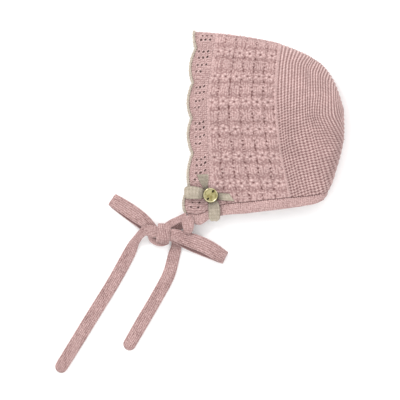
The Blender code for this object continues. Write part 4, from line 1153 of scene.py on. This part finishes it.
def make_ribbons():
    for name, route in RIBBON_ROUTES.items():
        places = []
        for right, up, layer, width in route:
            plan = BOW + np.array((right, up)) * RIBBON_LOOP_REACH
            base = max(near_height(plan), near_height(BOW) - 2 * BOW_LIFT)
            height = base + BOW_LIFT + layer * RIBBON_LAYER
            places.append((*plan, height, width * RIBBON_WIDTH, 2 * RIBBON_HALF_THICK))
        stations = stations_of(np.array(places), RIBBON_STEP)
        sides, ups = flat_sides(stations[:, :3])
        x, z = flattened(np.linspace(0, TURN, RIBBON_POINTS, endpoint=False), 0.35, 0.5)
        lengths = lengths_along(stations[:, :3])
        narrow = hill((stations[:, 3:4] / RIBBON_WIDTH - 0.45) / 0.3)
        pleat = RIBBON_PLEAT * np.cos(1.6 * math.pi * x[None]) * narrow
        curl = RIBBON_CURL * x[None] ** 2 * np.sin(lengths / (5 * MM) + len(name))[:, None]
        thick = RIBBON_HALF_THICK * (1 + 0.12 * hill((np.abs(x[None]) - 0.9) / 0.06))
        ribs = RIBBON_RIB * np.cos(TURN * lengths / RIBBON_RIB_PITCH)[:, None]
        high = z[None] * (thick + ribs) + pleat + curl
        rings = (stations[:, None, :3] + sides[:, None] * (x[None] * stations[:, 3:4] / 2)[..., None]
                 + ups[:, None] * high[..., None])
        if name in TAIL_SLANTS:
            slant = TAIL_SLANTS[name] * (lengths / lengths[-1])[:, None] ** 2 * x[None] * stations[:, 3:4] / 2
            rings += unit(np.gradient(stations[:, :3], axis=0))[:, None] * slant[..., None]
        # painted shade: darker under and round the medallion, along the edges and in stripes along and across
        # for the folds; all of it a little darker, the upright tail most
        from_middle = np.linalg.norm(rings[..., :2] - BOW, axis=2)
        depth = np.clip((from_middle - 4 * MM) / (9 * MM), 0, 1) - 0.25 * hill((np.abs(x[None]) - 1) / 0.07)
        depth = depth + 0.10 * np.cos(5.5 * math.pi * x[None])
        depth = depth + 0.10 * np.cos(TURN * lengths / (3.1 * MM))[:, None]
        depth = depth * (0.62 if name == "ribbon_tail_up" else 0.80)
        piece = ring_piece(name + "_velvet", rings + SHIFT, np.clip(depth, 0, 1), 50)
        attach(piece, RIBBON, [name])


def make_medallion():
    low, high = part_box("medallion")
    centre = np.array(((low[0] + high[0]) / 2, (low[1] + high[1]) / 2, low[2]))
    radius = (high[0] - low[0]) / 2
    thick = high[2] - low[2]
    # share of the radius, share of the thickness, and the value of "depth": patina in the groove, painted
    # highlight on the raised rim, painted shade on the side and underside
    profile = np.array((
        (0.30, 0.66, 0.5), (0.60, 0.67, 0.5), (0.74, 0.69, 0.45), (0.79, 0.70, 0.22), (0.82, 0.80, 0.35),
        (0.85, 0.96, 0.9), (0.90, 1.00, 1.0), (0.94, 0.97, 0.8), (0.975, 0.86, 0.4), (1.0, 0.6, 0.25),
        (1.0, 0.35, 0.2), (0.97, 0.1, 0.2), (0.92, 0.0, 0.2), (0.5, 0.0, 0.2),
    ))
    count = MEDALLION_POINTS
    angles = np.linspace(0, TURN, count, endpoint=False)
    round_rim = np.stack((np.cos(angles), np.sin(angles), np.zeros(count)), 1)
    rings = np.stack([centre + r * radius * round_rim + (0, 0, z * thick) for r, z, _ in profile])
    index = np.arange(rings.shape[0] * count).reshape(-1, count)
    following = np.roll(index, -1, 1)
    faces = np.stack((index[:-1], index[1:], following[1:], following[:-1]), 2).reshape(-1, 4).tolist()
    faces += [index[0].tolist(), index[-1][::-1].tolist()]
    piece = mesh_piece("medallion_disc", rings.reshape(-1, 3), faces, profile[:, 2].repeat(count), 45)
    middle, length = SEWING_HOLE_CUT
    for number, (right, up) in enumerate(SEWING_HOLES):
        bpy.ops.mesh.primitive_cylinder_add(vertices=32, radius=SEWING_HOLE_RADIUS, depth=length,
                                            location=centre + (right, up, middle))
        cutter = bpy.context.object
        cutter.name = f"sewing_hole_cutter_{number}"
        cut = piece.modifiers.new(cutter.name, "BOOLEAN")
        cut.operation = "DIFFERENCE"
        cut.object = cutter
        bpy.context.view_layer.objects.active = piece
        bpy.ops.object.modifier_apply(modifier=cut.name)
        bpy.data.objects.remove(cutter, do_unlink=True)
    attach(piece, BRASS, ["medallion"])
    piece.data.materials.append(HOLE_SHADE)
    # painted shade: the small faces in the sewing holes take the near black material
    for face in piece.data.polygons:
        away = min(math.hypot(face.center.x - centre[0] - right, face.center.y - centre[1] - up)
                   for right, up in SEWING_HOLES)
        if away < SEWING_HOLE_RADIUS and face.area < 3 * MM**2:
            face.material_index = 1


# Floor, light and camera

def make_stage():
    bpy.ops.mesh.primitive_plane_add(size=FLOOR_SIZE, location=(0, 0, -FLOOR_DROP))
    floor = bpy.context.object
    floor.name = "floor"
    floor.data.materials.append(new_material("pale_floor", {"Base Color": FLOOR_COLOUR, "Roughness": 0.9})[0])

    light = bpy.data.lights.new("key", "AREA")
    light.shape = "DISK"
    light.size = KEY_SIZE
    light.energy = KEY_POWER
    lamp = bpy.data.objects.new("key", light)
    lamp.location = KEY_PLACE
    lamp.rotation_mode = "QUATERNION"
    lamp.rotation_quaternion = (-Vector(KEY_PLACE)).to_track_quat("-Z", "Y")
    bpy.context.scene.collection.objects.link(lamp)

    world = bpy.data.worlds.new("studio")
    bpy.context.scene.world = world
    world.use_nodes = True
    sky = world.node_tree.nodes["Background"]
    sky.inputs["Color"].default_value = (1, 1, 1, 1)
    sky.inputs["Strength"].default_value = SKY_STRENGTH
    bpy.context.scene.view_settings.view_transform = "Standard"

    camera = bpy.data.cameras.new("camera")
    camera.sensor_width = 36
    camera.lens = EYE_LENS
    eye = bpy.data.objects.new("camera", camera)
    eye.location = EYE_PLACE
    camera.clip_start, camera.clip_end = 0.05, 20
    bpy.context.scene.collection.objects.link(eye)
    bpy.context.scene.camera = eye


make_stage()
make_lace()
make_edging()
make_panel()
make_crown()
make_band()
make_ties()
make_ribbons()
make_medallion()
